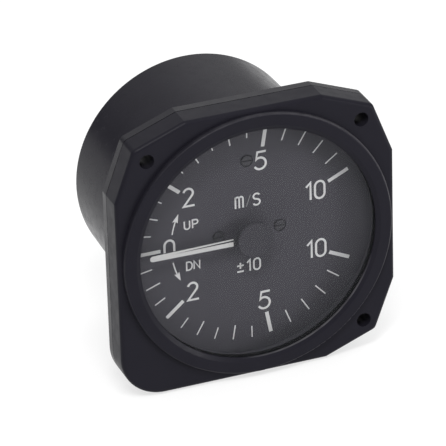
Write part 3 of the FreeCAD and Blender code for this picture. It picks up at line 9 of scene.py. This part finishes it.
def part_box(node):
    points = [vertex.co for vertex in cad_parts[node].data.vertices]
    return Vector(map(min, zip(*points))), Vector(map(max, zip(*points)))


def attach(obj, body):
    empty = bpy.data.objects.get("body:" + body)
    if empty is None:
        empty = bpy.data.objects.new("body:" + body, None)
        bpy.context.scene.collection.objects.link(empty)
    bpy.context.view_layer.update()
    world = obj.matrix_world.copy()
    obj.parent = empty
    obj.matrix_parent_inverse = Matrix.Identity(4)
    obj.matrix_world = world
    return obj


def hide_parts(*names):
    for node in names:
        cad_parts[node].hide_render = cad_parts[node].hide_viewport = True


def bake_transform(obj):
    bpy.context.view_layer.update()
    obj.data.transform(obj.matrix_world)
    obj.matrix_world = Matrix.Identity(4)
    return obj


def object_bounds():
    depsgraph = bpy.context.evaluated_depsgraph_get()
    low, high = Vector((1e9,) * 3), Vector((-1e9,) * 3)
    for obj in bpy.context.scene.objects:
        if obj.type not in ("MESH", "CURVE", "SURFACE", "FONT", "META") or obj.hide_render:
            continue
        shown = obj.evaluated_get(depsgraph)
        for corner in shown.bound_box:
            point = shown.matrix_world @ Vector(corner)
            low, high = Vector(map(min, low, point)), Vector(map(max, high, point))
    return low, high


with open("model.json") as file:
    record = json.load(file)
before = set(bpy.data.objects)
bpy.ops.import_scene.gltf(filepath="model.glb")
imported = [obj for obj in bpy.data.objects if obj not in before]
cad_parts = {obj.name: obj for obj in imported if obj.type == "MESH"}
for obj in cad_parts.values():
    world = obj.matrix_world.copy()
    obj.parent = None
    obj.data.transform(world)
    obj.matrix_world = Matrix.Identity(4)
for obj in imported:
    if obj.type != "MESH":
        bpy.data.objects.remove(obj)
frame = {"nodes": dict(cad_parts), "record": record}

cad_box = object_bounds()

MM = 0.001
NODES = frame["nodes"]

# Depths read from the frame, in metres
DIAL_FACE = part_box("dial_plate")[0].y
POINTER_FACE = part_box("pointer_blade")[0].y
LOWEST = cad_box[0][2]

# Paint on the dial, in millimetres
PAINT = 0.03
NUMBER_STROKE = 0.63
WORD_STROKE = 0.42
UNIT_STROKE = 0.49
NUMBER_HEIGHT = 5.3
WORD_HEIGHT = 2.5
UNIT_HEIGHT = 3.5

# The scale: where each value stands, in degrees from the dial's right, up for climb and down for sink
ZERO_ANGLE = 180.0
ANGLE_PER_UNIT_LOW = 20.0
ANGLE_PER_UNIT_HIGH = 11.0
LAST_LOW_UNIT = 5
LAST_UNIT = 10
MARK_OUTER = 32.9
MARK_INNER = {"long": 26.3, "unit": 28.5, "half": 29.4}
MARK_WIDTH = {"long": 1.06, "unit": 0.37, "half": 0.33}
LONG_MARKS = (0, 2, 5, 10)

# Where the pointer's pale paint starts, and how deep in the blade its crease turns dark
POINTER_PALE_START = 6.1
CREASE_SHADE = 0.05

# Camera, solved from the photograph
CAMERA_LENS = 324.28
CAMERA_SENSOR = 36.0
CAMERA_PLACE = (-0.352456, -0.914462, 0.517116)
CAMERA_RIGHT = (0.93107, -0.36382, -0.02730)
CAMERA_UP = (0.19079, 0.42175, 0.88641)

# The floor: half its width in metres, its depth under the instrument, its grey and its own glow, as a lit table has
FLOOR_REACH = 3.0
FLOOR_GAP = 0.0005
FLOOR_GREY = 0.35
FLOOR_GLOW = 0.67

# Light from all round: its strength near the horizon and overhead, the heights where it starts and ends to grow,
# and soft brighter patches, each (direction, cosine at its edge, strength)
HORIZON_LIGHT = 0.15
CEILING_LIGHT = 0.95
LIGHT_RISE = (0.08, 0.55)
BRIGHT_PATCHES = [((0.52, 0.83, 0.2), 0.72, 0.45)]

# Lamps: name, place, size, power and the direction of the long side
LAMPS = [
    ("key", (0.85, -0.75, 0.08), (0.35, 0.2), 4.2, (0.7, 0.8, 0.0)),
    ("high", (-0.22, -0.52, 0.88), (0.4, 0.16), 5.5, (0.84, 0.06, 0.44)),
]


# Shader building blocks

class Shader:
    """A material with one Principled shader and the nodes that feed it."""

    def __init__(self, name, colour, roughness, metallic=0.0, specular=0.5):
        self.material = bpy.data.materials.new(name)
        self.material.use_nodes = True
        self.tree = self.material.node_tree
        self.surface = self.tree.nodes["Principled BSDF"]
        self.surface.inputs["Base Color"].default_value = (*colour, 1.0)
        self.surface.inputs["Roughness"].default_value = roughness
        self.surface.inputs["Metallic"].default_value = metallic
        self.surface.inputs["Specular IOR Level"].default_value = specular
        self.colour = colour
        self.roughness = roughness
        self.place = self.node("ShaderNodeTexCoord").outputs["Object"]

    def node(self, kind, **inputs):
        """A node whose inputs are set or linked by name."""
        made = self.tree.nodes.new(kind)
        for name, value in inputs.items():
            self.feed(made.inputs[name.replace("_", " ")], value)
        return made

    def feed(self, socket, value):
        """Links an output to the socket, or sets the socket's value."""
        if isinstance(value, bpy.types.NodeSocket):
            self.tree.links.new(value, socket)
        else:
            socket.default_value = value

    def noise(self, size_mm, detail=3.0, stretch=(1.0, 1.0, 1.0)):
        """Noise with features of about this size, stretched along some axes."""
        mapping = self.node("ShaderNodeMapping", Vector=self.place,
                            Scale=tuple(1.0 / (size_mm * MM * axis) for axis in stretch))
        pattern = self.node("ShaderNodeTexNoise", Vector=mapping.outputs["Vector"], Scale=1.0, Detail=detail)
        return pattern.outputs["Fac"]

    def math(self, operation, first, second):
        """The result of a sum on two values."""
        made = self.node("ShaderNodeMath")
        made.operation = operation
        self.feed(made.inputs[0], first)
        self.feed(made.inputs[1], second)
        return made.outputs["Value"]

    def vector(self, operation, first, second=(0.0, 0.0, 0.0)):
        """A vector operation's node."""
        made = self.node("ShaderNodeVectorMath")
        made.operation = operation
        self.feed(made.inputs[0], first)
        self.feed(made.inputs[1], second)
        return made

    def ramp(self, value, start, end, low=0.0, high=1.0):
        """Maps lengths between two places, in millimetres, to a range."""
        return self.node("ShaderNodeMapRange", Value=value, From_Min=start * MM, From_Max=end * MM,
                         To_Min=low, To_Max=high).outputs["Result"]

    def spread(self, value, low, high, part=(0.3, 0.7)):
        """Maps the middle part of a noise to a range."""
        return self.node("ShaderNodeMapRange", Value=value, From_Min=part[0], From_Max=part[1],
                         To_Min=low, To_Max=high).outputs["Result"]

    def mix(self, factor, first, second):
        """A colour between two colours."""
        blend = self.tree.nodes.new("ShaderNodeMix")
        blend.data_type = "RGBA"
        self.feed(blend.inputs["Factor"], factor)
        self.feed(blend.inputs["A"], first)
        self.feed(blend.inputs["B"], second)
        return blend.outputs["Result"]

    def shades(self, factor, darker, lighter):
        """The base colour, varied between two shares of itself."""
        dark = (*(part * darker for part in self.colour), 1.0)
        light = (*(part * lighter for part in self.colour), 1.0)
        return self.mix(factor, dark, light)

    def paint(self, colour):
        self.feed(self.surface.inputs["Base Color"], colour)

    def rough(self, pattern, spread):
        """Roughness that varies by a spread round its value."""
        self.feed(self.surface.inputs["Roughness"],
                  self.spread(pattern, self.roughness - spread, self.roughness + spread))

    def bump(self, height, depth_mm, strength=1.0, edge_mm=0.0):
        """Relief from a pattern, over edges that are softened by this much."""
        relief = self.node("ShaderNodeBump", Height=height, Strength=strength, Distance=depth_mm * MM)
        if edge_mm:
            soft = self.node("ShaderNodeBevel", Radius=edge_mm * MM)
            self.feed(relief.inputs["Normal"], soft.outputs["Normal"])
        self.feed(self.surface.inputs["Normal"], relief.outputs["Normal"])


# Painted highlights: paler lines round the bezel that stand in for reflections, on the pilot's crest, most of it on
# the right, and on the lip's lower right.
# Radii and reach in millimetres. The reach is measured from the axis to the side where the line is strongest.
# The depths are where the lines start and are full, in front of the flange.
PAINTED_HIGHLIGHT_LINES = [
    {"radii": (39.45, 60.0), "soft": 0.2, "pale": (0.06, 0.058, 0.065),
     "side": (1.0, 0.0, 0.0), "reach": (-31.6, 39.45), "least": 0.1},
    {"radii": (34.8, 35.12), "soft": 0.12, "pale": (0.075, 0.073, 0.08),
     "side": (0.53, 0.0, -0.85), "reach": (26.0, 33.5), "least": 0.0},
]
HIGHLIGHT_LINE_DEPTH = (-0.4, -0.7)


def paint_highlight_line(shader, tone, line):
    """The tone with one painted highlight line on what stands proud of the flange."""
    flat = shader.vector("MULTIPLY", shader.place, (1.0, 0.0, 1.0)).outputs["Vector"]
    distance = shader.vector("LENGTH", flat).outputs["Value"]
    side = shader.vector("DOT_PRODUCT", flat, line["side"]).outputs["Value"]
    depth = shader.node("ShaderNodeSeparateXYZ", Vector=shader.place).outputs["Y"]
    inner, outer = line["radii"]
    start, end = line["reach"]
    shares = [shader.ramp(distance, inner - line["soft"], inner),
              shader.ramp(distance, outer + line["soft"], outer),
              shader.ramp(side, start, end, line["least"], 1.0),
              shader.ramp(depth, *HIGHLIGHT_LINE_DEPTH),
              shader.spread(shader.noise(4.0), 0.5, 1.0, part=(0.35, 0.6))]
    total = shares[0]
    for share in shares[1:]:
        total = shader.math("MULTIPLY", total, share)
    return shader.mix(total, tone, (*line["pale"], 1.0))


def moulded(name, colour, roughness, grain_mm, grain_depth, specular=0.25, edge_mm=0.25, highlight_lines=()):
    """Black moulded plastic: fine grain, faint clouds, slightly uneven gloss and any painted highlight lines it is
    given.
    """
    shader = Shader(name, colour, roughness, specular=specular)
    tone = shader.shades(shader.noise(9.0), 0.88, 1.12)
    # Paler lines painted into the colour as highlights, where given
    for line in highlight_lines:
        tone = paint_highlight_line(shader, tone, line)
    shader.paint(tone)
    shader.rough(shader.noise(2.5), 0.05)
    shader.bump(shader.noise(grain_mm, detail=2.0), grain_depth, edge_mm=edge_mm)
    return shader.material


def turned_metal(name, colour, roughness, stretch):
    """Metal with fine tool marks drawn out along one direction, and a faint tarnish."""
    shader = Shader(name, colour, roughness, metallic=1.0)
    tarnish = shader.noise(3.0)
    shader.paint(shader.shades(tarnish, 0.78, 1.06))
    marks = shader.noise(0.08, detail=4.0, stretch=stretch)
    shader.rough(marks, 0.08)
    shader.bump(marks, 0.004)
    return shader.material


def rubber(name, colour):
    """Matt rubber with a dusty, pitted surface."""
    shader = Shader(name, colour, 0.85, specular=0.15)
    shader.paint(shader.shades(shader.noise(0.8), 0.7, 1.5))
    shader.bump(shader.noise(0.15, detail=4.0), 0.02)
    return shader.material


def dial_paint():
    """Matt grey dial paint with a very fine tooth."""
    shader = Shader("dial_grey", (0.057, 0.0545, 0.0655), 0.7, specular=0.12)
    shader.paint(shader.shades(shader.noise(6.0), 0.96, 1.04))
    shader.rough(shader.noise(1.5), 0.05)
    shader.bump(shader.noise(0.12, detail=2.0), 0.0006)
    return shader.material


def mark_paint(name, colour):
    """Printed pale ink, a little uneven."""
    shader = Shader(name, colour, 0.6, specular=0.3)
    shader.paint(shader.shades(shader.noise(0.35), 0.9, 1.06))
    shader.bump(shader.noise(0.06), 0.004)
    return shader.material


def pointer_paint():
    """Pale paint on the blade's front, black at its root and in the crease."""
    shader = Shader("pointer_white", (0.535, 0.533, 0.535), 0.55, specular=0.3)
    pale = shader.shades(shader.noise(0.5), 0.92, 1.05)
    parts = shader.node("ShaderNodeSeparateXYZ", Vector=shader.place)
    root = shader.math("GREATER_THAN", parts.outputs["X"], -POINTER_PALE_START * MM)
    crease = shader.math("GREATER_THAN", parts.outputs["Y"], POINTER_FACE + CREASE_SHADE * MM)
    dark = shader.math("MAXIMUM", root, crease)
    shader.paint(shader.mix(dark, pale, (0.03, 0.03, 0.033, 1.0)))
    shader.bump(shader.noise(0.08), 0.003)
    return shader.material


def clear_glass(name, alpha):
    """Thin clear glass: mostly transparent, with a clean gloss and a trace of dust."""
    shader = Shader(name, (0.06, 0.065, 0.07), 0.04)
    shader.rough(shader.noise(4.0), 0.015)
    shader.feed(shader.surface.inputs["Alpha"], shader.spread(shader.noise(7.0), alpha * 0.9, alpha * 1.1))
    return shader.material


MATERIALS = {
    # The bezel carries the painted highlight lines on its crest and lip
    "bezel_black": moulded("bezel_black", (0.0115, 0.0109, 0.0158), 0.36, 0.45, 0.003, specular=0.07,
                           highlight_lines=PAINTED_HIGHLIGHT_LINES),
    "case_black": moulded("case_black", (0.0145, 0.0137, 0.0185), 0.25, 0.9, 0.001, specular=0.06, edge_mm=0.0),
    "case_rim": moulded("case_rim", (0.0098, 0.0092, 0.0135), 0.3, 0.45, 0.001, specular=0.16, edge_mm=0.0),
    "gasket_rubber": rubber("gasket_rubber", (0.008, 0.0078, 0.0095)),
    "ring_black": moulded("ring_black", (0.05, 0.048, 0.057), 0.6, 0.3, 0.003, specular=0.12),
    "dial_grey": dial_paint(),
    "screw_dark": turned_metal("screw_dark", (0.1, 0.1, 0.105), 0.42, (1.0, 1.0, 1.0)),
    "screw_steel": turned_metal("screw_steel", (0.5, 0.5, 0.5), 0.35, (6.0, 1.0, 6.0)),
    "plate_brass": turned_metal("plate_brass", (0.62, 0.45, 0.2), 0.38, (25.0, 1.0, 1.0)),
    "bright_brass": turned_metal("bright_brass", (0.72, 0.54, 0.25), 0.26, (6.0, 1.0, 6.0)),
    "staff_steel": turned_metal("staff_steel", (0.56, 0.56, 0.58), 0.2, (6.0, 1.0, 6.0)),
    "pointer_white": pointer_paint(),
    "pointer_black": moulded("pointer_black", (0.045, 0.0432, 0.052), 0.65, 0.25, 0.001, specular=0.12),
    "dial_screw_paint": moulded("dial_screw_paint", (0.046, 0.0445, 0.052), 0.55, 0.2, 0.003, specular=0.2),
    "capsule_bronze": turned_metal("capsule_bronze", (0.6, 0.4, 0.22), 0.33, (4.0, 1.0, 4.0)),
    "solder": turned_metal("solder", (0.5, 0.5, 0.51), 0.45, (1.0, 1.0, 1.0)),
    "port_metal": turned_metal("port_metal", (0.62, 0.62, 0.64), 0.32, (6.0, 1.0, 6.0)),
    "glass_clear": clear_glass("glass_clear", 0.08),
}

SLOTS = {entry["node"]: entry["material_slot"] for entry in frame["record"]["subparts"]}
SLOTS["dial_screws"] = "dial_screw_paint"
SLOTS["case_flange"] = "case_rim"
for node_name, thing in NODES.items():
    for material_slot in thing.material_slots:
        material_slot.material = MATERIALS[SLOTS[node_name]]


def elastic(name, node):
    """A piece in a node's shape, copied from the node with its material, in place of the node, which is hidden."""
    piece = bpy.data.objects.new(name, NODES[node].data.copy())
    bpy.context.scene.collection.objects.link(piece)
    for material_slot in piece.material_slots:
        material_slot.material = MATERIALS[SLOTS[node]]
    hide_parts(node)
    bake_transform(piece)


elastic("capsule_front_disc", "capsule_front_diaphragm")
elastic("hairspring_coil", "hairspring")


# Strokes of paint on the dial. Points are (x, z) in millimetres on the dial's face.

def arc(centre, reach, start, end, steps=14):
    """Points of an elliptical arc between two angles in degrees."""
    turns = [math.radians(start + (end - start) * step / steps) for step in range(steps + 1)]
    return [(centre[0] + reach[0] * math.cos(turn), centre[1] + reach[1] * math.sin(turn)) for turn in turns]


def sides(points, width, closed):
    """The two sides of a stroke along the points, mitred at each bend."""
    count = len(points)
    left, right = [], []
    for index, point in enumerate(points):
        here = Vector(point)
        before = Vector(points[index - 1]) if index or closed else None
        after = Vector(points[(index + 1) % count]) if index < count - 1 or closed else None
        ways = [(here - before).normalized()] if before else []
        ways += [(after - here).normalized()] if after else []
        normals = [Vector((-way.y, way.x)) for way in ways]
        middle = sum(normals, Vector((0.0, 0.0))).normalized()
        reach = width / 2 / max(middle.dot(normals[0]), 0.5)
        left.append(here + middle * reach)
        right.append(here - middle * reach)
    return left, right


def paint_strokes(name, strokes, material):
    """A piece of flat strokes on the dial's face. Each stroke is (points, width, closed)."""
    mesh = bmesh.new()
    height = DIAL_FACE - PAINT * MM
    for points, width, closed in strokes:
        left, right = sides(points, width, closed)
        rails = [[mesh.verts.new((spot.x * MM, height, spot.y * MM)) for spot in rail] for rail in (left, right)]
        count = len(points)
        for index in range(count if closed else count - 1):
            after = (index + 1) % count
            mesh.faces.new((rails[0][index], rails[0][after], rails[1][after], rails[1][index]))
    bmesh.ops.recalc_face_normals(mesh, faces=mesh.faces)
    for face in mesh.faces:
        if face.normal.y > 0:
            face.normal_flip()
    return add_piece(name, mesh, material)


def add_piece(name, mesh, material):
    """Turns a mesh into a piece that rides on the fixed body, thick as the paint."""
    data = bpy.data.meshes.new(name)
    mesh.to_mesh(data)
    mesh.free()
    data.materials.append(material)
    piece = bpy.data.objects.new(name, data)
    bpy.context.scene.collection.objects.link(piece)
    thickness = piece.modifiers.new("paint", "SOLIDIFY")
    thickness.thickness = PAINT * MM
    thickness.offset = -1.0
    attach(piece, "root")
    return piece


def mark_angle(value):
    """Angle of a climb value, in degrees from the dial's right."""
    low = min(value, LAST_LOW_UNIT)
    high = max(value - LAST_LOW_UNIT, 0)
    return ZERO_ANGLE - ANGLE_PER_UNIT_LOW * low - ANGLE_PER_UNIT_HIGH * high


def scale_marks(long_marks):
    """Strokes of the scale's long marks, or of all its other marks."""
    strokes = []
    for half_units in range(2 * LAST_UNIT + 1):
        value = half_units / 2
        whole = half_units % 2 == 0
        if not whole and value > LAST_LOW_UNIT:
            continue
        kind = "long" if value in LONG_MARKS else "unit" if whole else "half"
        if (kind == "long") != long_marks:
            continue
        for way in (1, -1) if value else (1,):
            turn = math.radians(way * mark_angle(value))
            across, along = math.cos(turn), math.sin(turn)
            line = [(reach * across, reach * along) for reach in (MARK_INNER[kind], MARK_OUTER)]
            strokes.append((line, MARK_WIDTH[kind], False))
    return strokes


# Letters and figures as lines in a cell one high, each line (points, closed)

def glyph(sign):
    if sign == "0":
        return [(arc((0.27, 0.71), (0.27, 0.29), 0, 180) + arc((0.27, 0.29), (0.27, 0.29), 180, 360), True)]
    if sign == "1":
        return [([(0.0, 0.76), (0.25, 1.0), (0.25, 0.0)], False)]
    if sign == "2":
        return [(arc((0.27, 0.74), (0.26, 0.26), 165, -32) + [(0.0, 0.0), (0.6, 0.0)], False)]
    if sign == "5":
        return [([(0.6, 1.0), (0.13, 1.0), (0.05, 0.57)]
                 + arc((0.26, 0.335), (0.33, 0.335), 118, -152), False)]
    if sign == "U":
        return [([(0.0, 1.0)] + arc((0.31, 0.3), (0.31, 0.3), 180, 360) + [(0.62, 1.0)], False)]
    if sign == "P":
        return [([(0.0, 0.0), (0.0, 1.0)] + arc((0.34, 0.74), (0.28, 0.26), 90, -90) + [(0.0, 0.48)], False)]
    if sign == "D":
        return [([(0.0, 0.0), (0.0, 1.0)] + arc((0.27, 0.5), (0.38, 0.5), 90, -90), True)]
    if sign == "N":
        return [([(0.0, 0.0), (0.0, 1.0), (0.66, 0.0), (0.66, 1.0)], False)]
    if sign == "m":
        humps = [([(0.0, 0.0), (0.0, 1.0)], False)]
        for start in (0.0, 0.32):
            humps.append((arc((start + 0.16, 0.8), (0.16, 0.19), 170, 0) + [(start + 0.32, 0.0)], False))
        return humps
    if sign == "S":
        return [(arc((0.29, 0.76), (0.26, 0.24), 25, 235) + arc((0.28, 0.255), (0.29, 0.255), 62, -155), False)]
    if sign == "/":
        return [([(0.0, 0.0), (0.38, 1.0)], False)]
    return [([(0.0, 0.62), (0.56, 0.62)], False), ([(0.28, 0.36), (0.28, 0.88)], False),
            ([(0.0, 0.1), (0.56, 0.1)], False)]


def written(sign, across, along, height, width):
    """Strokes of one sign with its lower left corner at this place."""
    return [([(across + height * x, along + height * z) for x, z in points], width, closed)
            for points, closed in glyph(sign)]


NUMBERS = [("5", 2.3, 19.1), ("5", 2.45, -24.6), ("2", -19.05, 12.2), ("2", -18.7, -17.1),
           ("1", 17.2, 6.45), ("0", 19.85, 6.45), ("1", 17.2, -11.8), ("0", 19.85, -11.8),
           ("0", -25.1, -2.5)]
WORDS = [("U", -19.05, 5.15), ("P", -16.65, 5.15), ("D", -18.8, -7.6), ("N", -16.6, -7.6)]
UNIT = [("m", -3.85, 8.35), ("S", 1.4, 8.35)]
RANGE_SIGN = [("+", -3.9, -11.8), ("1", -0.9, -11.8), ("0", 1.1, -11.8)]
UNIT_STROKE_PLACE = ("/", -0.7, 8.35)
UNIT_SLASH_STROKE = 0.25

# The curved arrows run round the dial's axis; angles in degrees from the zero mark
ARROW_RADIUS = 23.15
ARROW_START = 10.8
ARROW_NECK = 21.0
ARROW_TIP = 26.6
ARROW_STROKE = 0.36
ARROW_BARB = 0.85
ARROW_BARB_BACK = 1.2


def arrow_point(radius, angle, way):
    turn = math.radians(ZERO_ANGLE - angle)
    return (radius * math.cos(turn), way * radius * math.sin(turn))


def arrow_heads():
    """A mesh of both arrowheads, each a barbed triangle."""
    mesh = bmesh.new()
    height = DIAL_FACE - PAINT * MM
    for way in (1, -1):
        corners = [arrow_point(ARROW_RADIUS, ARROW_TIP, way),
                   arrow_point(ARROW_RADIUS + ARROW_BARB, ARROW_NECK - ARROW_BARB_BACK, way),
                   arrow_point(ARROW_RADIUS, ARROW_NECK, way),
                   arrow_point(ARROW_RADIUS - ARROW_BARB, ARROW_NECK - ARROW_BARB_BACK, way)]
        tip, outer, neck, inner = [mesh.verts.new((x * MM, height, z * MM)) for x, z in corners]
        for pair in ((tip, outer, neck), (tip, neck, inner)):
            mesh.faces.new(pair)
    for face in mesh.faces:
        face.normal_update()
        if face.normal.y > 0:
            face.normal_flip()
    return mesh


ink = mark_paint("mark_ink", (0.63, 0.63, 0.635))
faint_ink = mark_paint("faint_ink", (0.2, 0.2, 0.205))

numbers = []
for sign, across, along in NUMBERS:
    numbers += written(sign, across, along, NUMBER_HEIGHT, NUMBER_STROKE)
words = []
for sign, across, along in WORDS:
    words += written(sign, across, along, WORD_HEIGHT, WORD_STROKE)
units = []
for sign, across, along in UNIT + RANGE_SIGN:
    units += written(sign, across, along, UNIT_HEIGHT, UNIT_STROKE)
arrow_shafts = []
for way in (1, -1):
    shaft = [arrow_point(ARROW_RADIUS, ARROW_START + (ARROW_NECK - ARROW_START) * step / 6, way)
             for step in range(7)]
    arrow_shafts.append((shaft, ARROW_STROKE, False))

paint_strokes("dial_long_marks", scale_marks(True), ink)
paint_strokes("dial_short_marks", scale_marks(False), ink)
paint_strokes("dial_numbers", numbers, ink)
paint_strokes("dial_words", words, ink)
paint_strokes("dial_units", units, ink)
paint_strokes("dial_unit_slash", written(*UNIT_STROKE_PLACE, UNIT_HEIGHT, UNIT_SLASH_STROKE), faint_ink)
paint_strokes("dial_arrow_shafts", arrow_shafts, ink)
add_piece("dial_arrow_heads", arrow_heads(), ink)


# Floor, light and camera

def add_floor():
    """A wide pale floor just under the instrument."""
    signs = ((-1, -1), (1, -1), (1, 1), (-1, 1))
    data = bpy.data.meshes.new("floor")
    data.from_pydata([(FLOOR_REACH * x, FLOOR_REACH * y, 0) for x, y in signs], [], [(0, 1, 2, 3)])
    shader = Shader("floor_pale", (FLOOR_GREY,) * 3, 0.9, specular=0.1)
    shader.paint(shader.shades(shader.noise(60.0), 0.99, 1.01))
    shader.surface.inputs["Emission Color"].default_value = (1.0, 1.0, 1.0, 1.0)
    shader.surface.inputs["Emission Strength"].default_value = FLOOR_GLOW
    data.materials.append(shader.material)
    floor = bpy.data.objects.new("floor", data)
    floor.location.z = LOWEST - FLOOR_GAP
    bpy.context.scene.collection.objects.link(floor)


def add_lamp(name, place, size, power, along):
    """A soft rectangular light that faces the instrument, its long side drawn along a direction."""
    data = bpy.data.lights.new(name, "AREA")
    data.shape = "RECTANGLE"
    data.size, data.size_y = size
    data.energy = power
    lamp = bpy.data.objects.new(name, data)
    back = Vector(place).normalized()
    side = (Vector(along) - back * back.dot(Vector(along))).normalized()
    lamp.matrix_world = (Matrix.Translation(place)
                         @ Matrix((side, back.cross(side), back)).transposed().to_4x4())
    lamp.visible_camera = False
    bpy.context.scene.collection.objects.link(lamp)


def add_world():
    """Plain white light all round, dimmer near the horizon, with soft brighter patches."""
    world = bpy.data.worlds.new("studio")
    world.use_nodes = True
    tree = world.node_tree
    way = tree.nodes.new("ShaderNodeTexCoord").outputs["Generated"]

    def level(value, start, end, low, high):
        step = tree.nodes.new("ShaderNodeMapRange")
        step.interpolation_type = "SMOOTHSTEP"
        tree.links.new(value, step.inputs["Value"])
        for name, number in (("From Min", start), ("From Max", end), ("To Min", low), ("To Max", high)):
            step.inputs[name].default_value = number
        return step.outputs["Result"]

    parts = tree.nodes.new("ShaderNodeSeparateXYZ")
    tree.links.new(way, parts.inputs["Vector"])
    total = level(parts.outputs["Z"], *LIGHT_RISE, HORIZON_LIGHT, CEILING_LIGHT)
    for direction, edge, strength in BRIGHT_PATCHES:
        facing = tree.nodes.new("ShaderNodeVectorMath")
        facing.operation = "DOT_PRODUCT"
        tree.links.new(way, facing.inputs[0])
        facing.inputs[1].default_value = Vector(direction).normalized()
        sum_of_both = tree.nodes.new("ShaderNodeMath")
        sum_of_both.operation = "ADD"
        tree.links.new(total, sum_of_both.inputs[0])
        tree.links.new(level(facing.outputs["Value"], edge, 1.0, 0.0, strength), sum_of_both.inputs[1])
        total = sum_of_both.outputs["Value"]
    background = tree.nodes["Background"]
    background.inputs["Color"].default_value = (1.0, 1.0, 1.0, 1.0)
    tree.links.new(total, background.inputs["Strength"])
    bpy.context.scene.world = world


def add_camera():
    data = bpy.data.cameras.new("camera")
    data.lens = CAMERA_LENS
    data.sensor_width = CAMERA_SENSOR
    data.clip_start = 0.01
    right, up = Vector(CAMERA_RIGHT), Vector(CAMERA_UP)
    turn = Matrix((right, up, right.cross(up))).transposed().to_4x4()
    camera = bpy.data.objects.new("camera", data)
    camera.matrix_world = Matrix.Translation(CAMERA_PLACE) @ turn
    bpy.context.scene.collection.objects.link(camera)
    bpy.context.scene.camera = camera


add_floor()
add_world()
for lamp_facts in LAMPS:
    add_lamp(*lamp_facts)
add_camera()
bpy.context.scene.view_settings.view_transform = "Standard"
